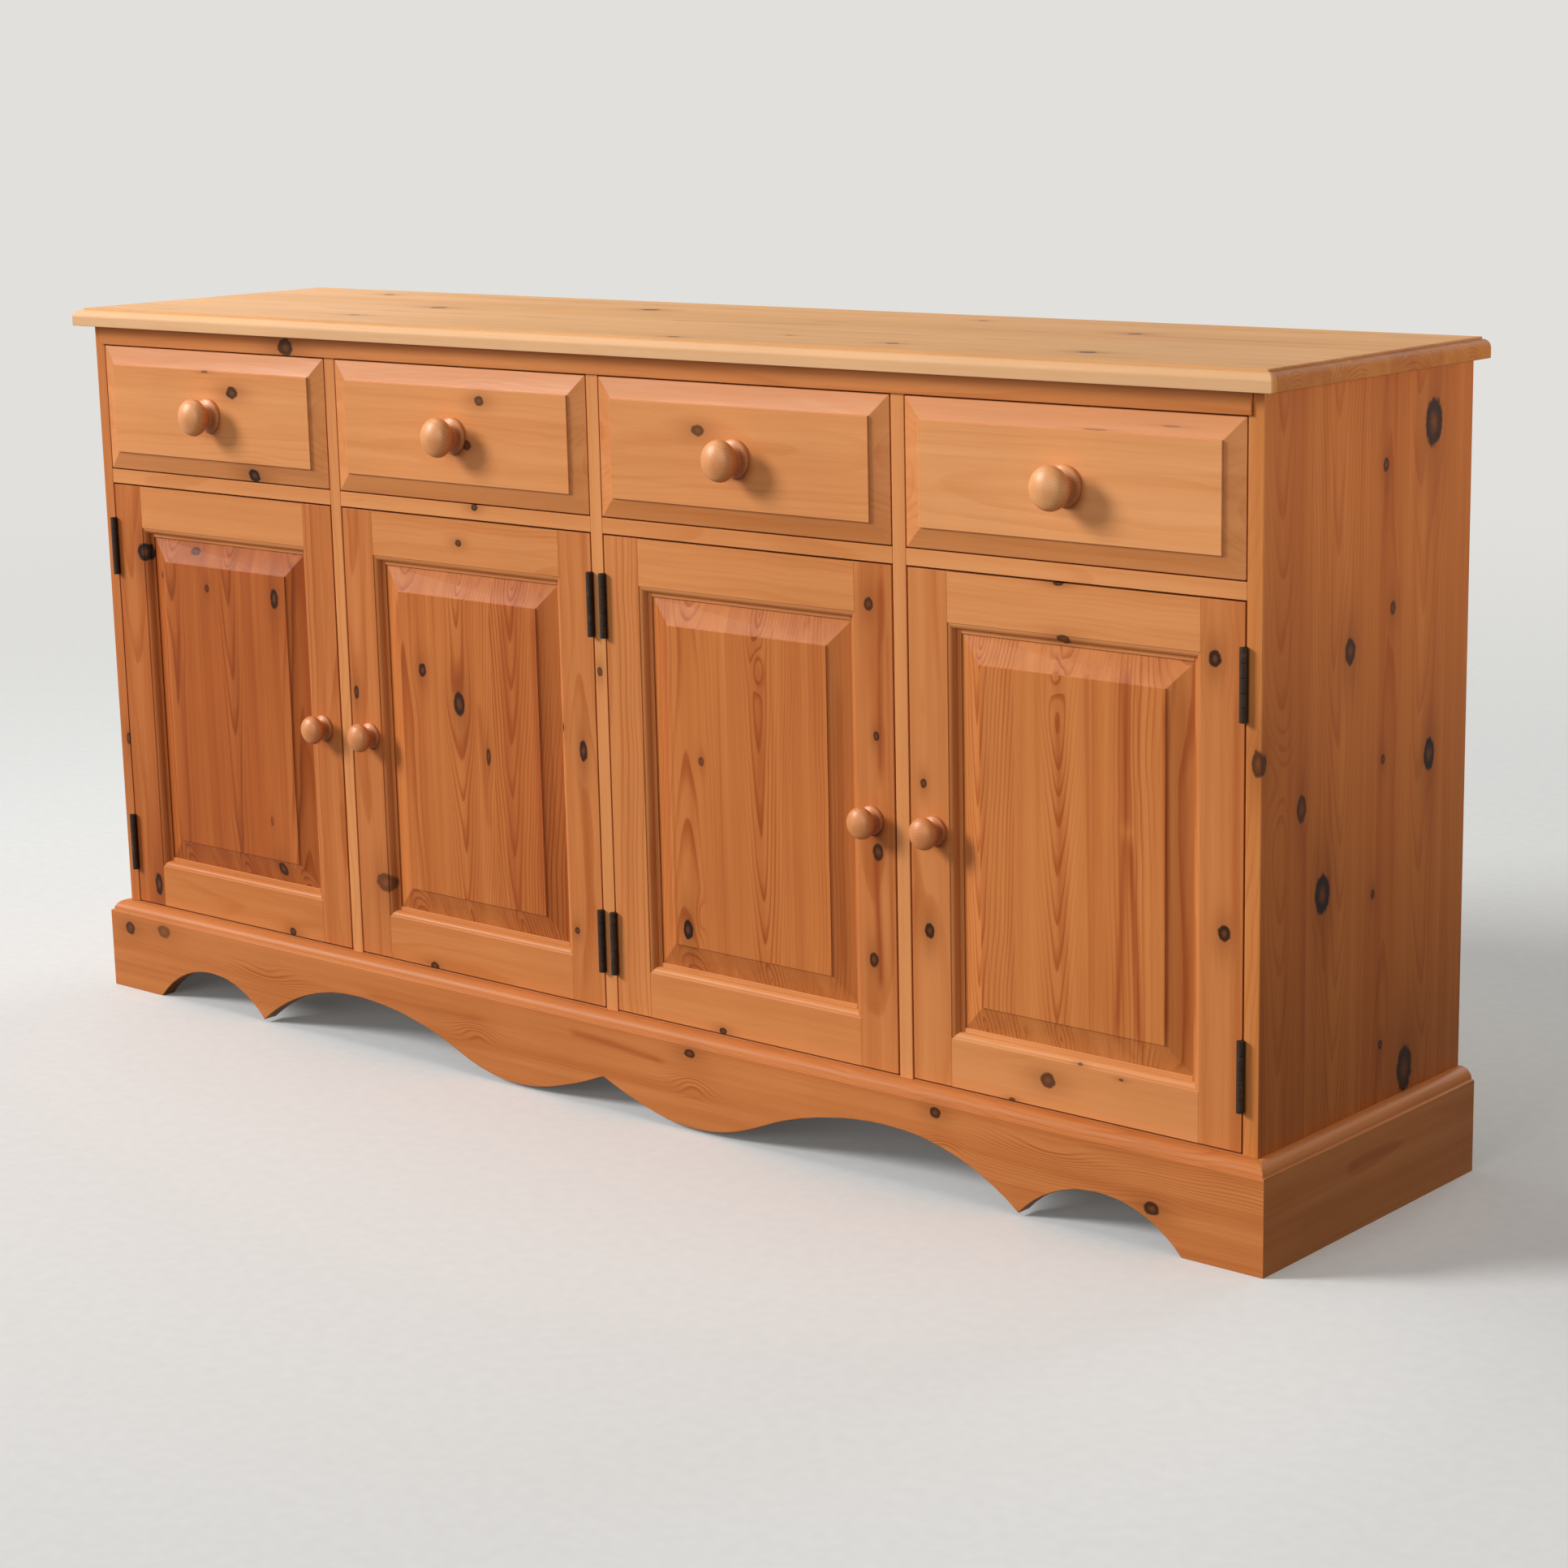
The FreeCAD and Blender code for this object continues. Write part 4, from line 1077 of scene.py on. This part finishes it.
def knob(node, size):
    low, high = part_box(node)
    centre = (low + high) / 2
    face = low.y + size.reach * MM
    out = Matrix.Translation((centre.x, face, centre.z)) @ Matrix.Rotation(math.pi / 2, 4, "X")
    profile = [(radius * MM, height * MM) for radius, height in knob_profile(size)]
    piece = new_piece(node, turned(profile, out, KNOB_STEPS), knob_wood(node, centre, size))
    piece.data.set_sharp_from_angle(angle=KNOB_CRISP)
    carried(piece, node)


# Hinges, screws and catches.

# A screw: shank and head as shares of the head's radius, its point as shares of the shank, its slot.
SHANK, HEAD_DEPTH, HEAD_EDGE = 0.5, 0.9, 0.96
POINT_WIDE, POINT_LONG = 0.4, 3
SLOT_WIDE = 0.5
SLOT_DEPTH = 0.7 * MM
SLOT_TAPER = 0.6
HEAD_OVERLAP = 0.05 * MM
HEAD_STEPS = 12
ROUND_STEPS = 24
PIN_DOME = 0.4 * MM
PIN_FLAT = 0.7
KNUCKLE_PLAY = 0.15 * MM
LEVEL = 0.99
LEAF_EASE = 0.35 * MM


def metalwork(name, parts, material):
    """A piece of turned or cut metal."""
    piece = new_piece(name, merged(parts), material)
    piece.data.set_sharp_from_angle(angle=CRISP)
    return piece


def screw(tip, top, radius):
    """A slotted countersunk screw from its tip to the middle of its head."""
    length = (top - tip).length
    turn = (top - tip).to_track_quat("Z", "Y").to_matrix().to_4x4()
    stand = Matrix.Translation(tip) @ turn
    shank = radius * SHANK
    floor_of_slot = length - SLOT_DEPTH
    profile = [
        (0, 0),
        (shank * POINT_WIDE, shank),
        (shank, shank * POINT_LONG),
        (shank, length - radius * HEAD_DEPTH),
        (radius * HEAD_EDGE - SLOT_DEPTH * SLOT_TAPER, floor_of_slot),
        (0, floor_of_slot),
    ]
    parts = [turned(profile, stand, ROUND_STEPS)]
    start = math.asin(SLOT_WIDE / 2)
    turns = [start + (math.pi - 2 * start) * i / HEAD_STEPS for i in range(HEAD_STEPS + 1)]
    for way in (1, -1):
        outline = [(radius * math.cos(turn), way * radius * math.sin(turn)) for turn in turns]
        half = sawn(outline, floor_of_slot - HEAD_OVERLAP, length, "Z")
        bmesh.ops.transform(half, matrix=stand, verts=half.verts)
        parts.append(half)
    return merged(parts)


def hinge_screws(node):
    """The screws of one node: each lies along X, with its head at its wider end."""
    made = []
    for solid in solids(node):
        low, high = span(solid)
        middle = (low + high) / 2
        radius = (high.y - low.y) / 2
        widest = max(solid.verts, key=lambda vert: (vert.co - middle).yz.length)
        ends = [Vector((x, middle.y, middle.z)) for x in (low.x, high.x)]
        if widest.co.x < middle.x:
            ends.reverse()
        solid.free()
        made.append(screw(*ends, radius))
    carried(metalwork(node, made, IRON), node)


def hinge_pins():
    """Round pins with domed ends."""
    made = []
    for low, high in boxes("hinge_pins"):
        radius = (high.x - low.x) / 2
        stand = Matrix.Translation((low.x + radius, low.y + radius, low.z))
        tall = high.z - low.z
        profile = [(0, 0), (radius * PIN_FLAT, 0), (radius, PIN_DOME), (radius, tall - PIN_DOME)]
        profile += [(radius * PIN_FLAT, tall), (0, tall)]
        made.append(turned(profile, stand, ROUND_STEPS))
    carried(metalwork("hinge_pins", made, IRON), "hinge_pins")


def hinge_leaves(node):
    """A node's hinge leaves, with a little play between the knuckles of a hinge's two halves."""
    leaves = solids(node)
    for leaf in leaves:
        leaf.normal_update()
        low, high = span(leaf)
        shifts = {}
        for face in leaf.faces:
            height = face.calc_center_median().z
            inner = low.z + KNUCKLE_PLAY < height < high.z - KNUCKLE_PLAY
            if inner and abs(face.normal.z) > LEVEL:
                shifts.update(dict.fromkeys(face.verts, -face.normal.z * KNUCKLE_PLAY))
        for vert, shift in shifts.items():
            vert.co.z += shift
    dressed(node, node, merged(leaves), IRON, LEAF_EASE)


def hinges():
    halves = ["hinge_frame", *(f"door_{bay}_hinge" for bay in BAYS)]
    for half in halves:
        hinge_leaves(f"{half}_leaves")
    for half in halves:
        hinge_screws(f"{half}_screws")
    hinge_pins()


CATCH_BASE = 3 * MM
CATCH_EAR = 7 * MM
CATCH_SETBACK = 0.8 * MM
CATCH_CORNER = 2.5 * MM
CATCH_EASE = 0.6 * MM
CATCH_SCREW = 2.4 * MM
SCREW_LENGTH = 0.9 * CATCH_BASE
SCREW_PROUD = 0.4 * MM
POLE_THICKNESS = 1.4 * MM
POLE_PITCH = 4 * MM
POLE_INSET = 2 * MM
POLE_CORNER = 0.4 * MM
STRIKE_SIZE = (34 * MM, 11 * MM)
STRIKE_THICKNESS = 0.45 * MM
STRIKE_CORNER = 3 * MM
STRIKE_DROP = 1.5 * MM
CORNER_STEPS = 5


def round_corners(low, high, radius):
    """A rectangle's outline with round corners."""
    outline = []
    middle = [(a + b) / 2 for a, b in zip(low, high)]
    half = [(b - a) / 2 - radius for a, b in zip(low, high)]
    for corner, (way, rise) in enumerate(((1, 1), (-1, 1), (-1, -1), (1, -1))):
        for i in range(CORNER_STEPS + 1):
            turn = math.pi / 2 * (corner + i / CORNER_STEPS)
            x = middle[0] + way * half[0] + radius * math.cos(turn)
            y = middle[1] + rise * half[1] + radius * math.sin(turn)
            outline.append((x, y))
    return outline


def catches():
    """A magnetic catch under each drawer rail: a case on a base with two ears, and two pole plates."""
    cases = []
    poles = []
    screws = []
    for low, high in boxes("door_catches"):
        middle = (low + high) / 2
        base = high.z - CATCH_BASE
        front = low.y + CATCH_SETBACK
        left, right = low.x + CATCH_EAR, high.x - CATCH_EAR
        outline = round_corners((low.x, front), (high.x, high.y), CATCH_CORNER)
        cases.append(sawn(outline, base, high.z, "Z"))
        cases.append(block((left, front, low.z), (right, high.y, base)))
        outline = round_corners((left + POLE_INSET, low.y), (right - POLE_INSET, middle.y), POLE_CORNER)
        for way in (-1, 1):
            flat = (low.z + base) / 2 + way * POLE_PITCH / 2
            poles.append(sawn(outline, flat - POLE_THICKNESS / 2, flat + POLE_THICKNESS / 2, "Z"))
            x = middle.x + way * (middle.x - low.x - CATCH_EAR / 2)
            tip = Vector((x, middle.y, base + SCREW_LENGTH))
            screws.append(screw(tip, Vector((x, middle.y, base - SCREW_PROUD)), CATCH_SCREW))
    dressed("door_catches", "door_catches", merged(cases), catch_plastic(), CATCH_EASE)
    metal = metalwork("catch_poles", [*poles, *screws], STEEL)
    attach(metal, "carcass")
    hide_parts("door_catches")


def strike_plate(bay):
    """The thin plate behind a door's top rail that its catch holds."""
    low, high = boxes("door_catches")[bay - 1]
    x = (low.x + high.x) / 2
    z = (low.z + high.z) / 2 - STRIKE_DROP
    wide, tall = STRIKE_SIZE[0] / 2, STRIKE_SIZE[1] / 2
    outline = round_corners((x - wide, z - tall), (x + wide, z + tall), STRIKE_CORNER)
    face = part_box(f"door_{bay}_stiles")[1].y
    plate = sawn(outline, face, face + STRIKE_THICKNESS, "Y")
    piece = metalwork(f"door_{bay}_strike_plate", [plate], STEEL)
    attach(piece, f"door_{bay}")


# Light, floor and camera.

BACKGROUND = linear(226, 224, 220)
SOFT_LIGHT = (1.0, 0.96, 0.90, 1.0)
SOFT_STRENGTH = 0.24
DAY_LIGHT = (1.0, 0.97, 0.93)
WARM_LIGHT = (1.0, 0.90, 0.78)
FLOOR_BOUNCE = grey(0.06)
FLOOR_STOPS = tints((0.3, 0.7), (229, 233, 236), (233, 237, 240))
FLOOR_RADIUS = 14
FLOOR_SIDES = 96
# The camera's place, and its turn to the left, its dip and its lean in degrees. Its picture is square.
CAMERA_SPOT = (2.643, -2.890, 1.210)
CAMERA_ANGLES = (41.090, 12.278, -1.262)
LENS_LENGTH, SENSOR_WIDTH = 76.75, 36
PICTURE_WIDTH, PICTURE_SHIFT = 1932, -2.5


def floor():
    """A plain pale floor that fades into the background, and throws little light back at the object."""
    work = bmesh.new()
    bmesh.ops.create_circle(work, cap_ends=True, radius=FLOOR_RADIUS, segments=FLOOR_SIDES)
    finish = new_finish("pale_floor")
    axes = finish.place()
    out = (axes["X"] * axes["X"] + axes["Y"] * axes["Y"]) ** 0.5
    grain = finish.noise(finish.spot(), scales=(60, 60, 60), detail=FINE)
    seen = finish.seen()
    pale = finish.mix(seen, FLOOR_BOUNCE, finish.ramp(grain, FLOOR_STOPS))
    matt = finish.add("BsdfDiffuse", {}, {"Color": pale})
    glow = finish.add("Emission", {}, {"Color": BACKGROUND, "Strength": 1.0})
    share = finish.band(out, start=1.5, end=6.0, low=0.06, high=1.0) * seen
    shader = finish.add("MixShader", {}, {0: share, 1: matt, 2: glow})
    finish.add("OutputMaterial", {}, {"Surface": shader})
    new_piece("floor", work, finish.owner)


def world():
    """Soft light from all round, and a pale background behind the object."""
    finish = Finish(bpy.data.worlds.new("studio"))
    soft = finish.add("Background", {}, {"Color": SOFT_LIGHT, "Strength": SOFT_STRENGTH})
    pale = finish.add("Background", {}, {"Color": BACKGROUND, "Strength": 1.0})
    shader = finish.add("MixShader", {}, {0: finish.seen(), 1: soft, 2: pale})
    finish.add("OutputWorld", {}, {"Surface": shader})
    bpy.context.scene.world = finish.owner


def lamp(name, spot, aim, size, watts, colour=DAY_LIGHT):
    light = bpy.data.lights.new(name, "AREA")
    light.shape = "DISK"
    light.size = size
    light.energy = watts
    light.color = colour
    holder = bpy.data.objects.new(name, light)
    holder.location = spot
    holder.rotation_mode = "QUATERNION"
    holder.rotation_quaternion = (Vector(aim) - Vector(spot)).to_track_quat("-Z", "Y")
    bpy.context.scene.collection.objects.link(holder)


def camera():
    """The photograph's camera."""
    turn, dip, lean = (math.radians(angle) for angle in CAMERA_ANGLES)
    ahead = Vector((-math.sin(turn) * math.cos(dip), math.cos(turn) * math.cos(dip), -math.sin(dip)))
    right = Vector((math.cos(turn), math.sin(turn), 0))
    up = right.cross(ahead)
    across = right * math.cos(lean) + up * math.sin(lean)
    upward = up * math.cos(lean) - right * math.sin(lean)
    lens = bpy.data.cameras.new("camera")
    lens.lens = LENS_LENGTH
    lens.sensor_width = SENSOR_WIDTH
    lens.shift_y = PICTURE_SHIFT / PICTURE_WIDTH
    holder = bpy.data.objects.new("camera", lens)
    axes = Matrix((across, upward, -ahead)).transposed()
    holder.matrix_world = Matrix.Translation(CAMERA_SPOT) @ axes.to_4x4()
    bpy.context.scene.collection.objects.link(holder)
    bpy.context.scene.camera = holder


IRON = hinge_iron()
STEEL = bright_steel()
carcass()
for bay in BAYS:
    door(bay)
    drawer(bay)
hinges()
catches()

floor()
world()
lamp("key", (-17, -13.6, 10.8), (0, -0.2, 0.5), 8.0, 5250)
lamp("front", (0.5, -9, 2.6), (0, 0, 0.5), 5.0, 235)
lamp("rear", (0.6, 9, 4), (0, 0, 0.5), 5.0, 230)
lamp("sheen_on_top", (-11.6, 9, 1.8), (-0.8, 0, 0.9), 2.4, 60)
lamp("above_left", (-1.4, -0.2, 2.7), (-0.7, 0, 0.9), 1.4, 18)
lamp("right", (1.9, 0.22, 0.95), (1.1, 0.1, 1.55), 0.9, 8.8, WARM_LIGHT)
camera()
bpy.context.scene.view_settings.view_transform = "Standard"
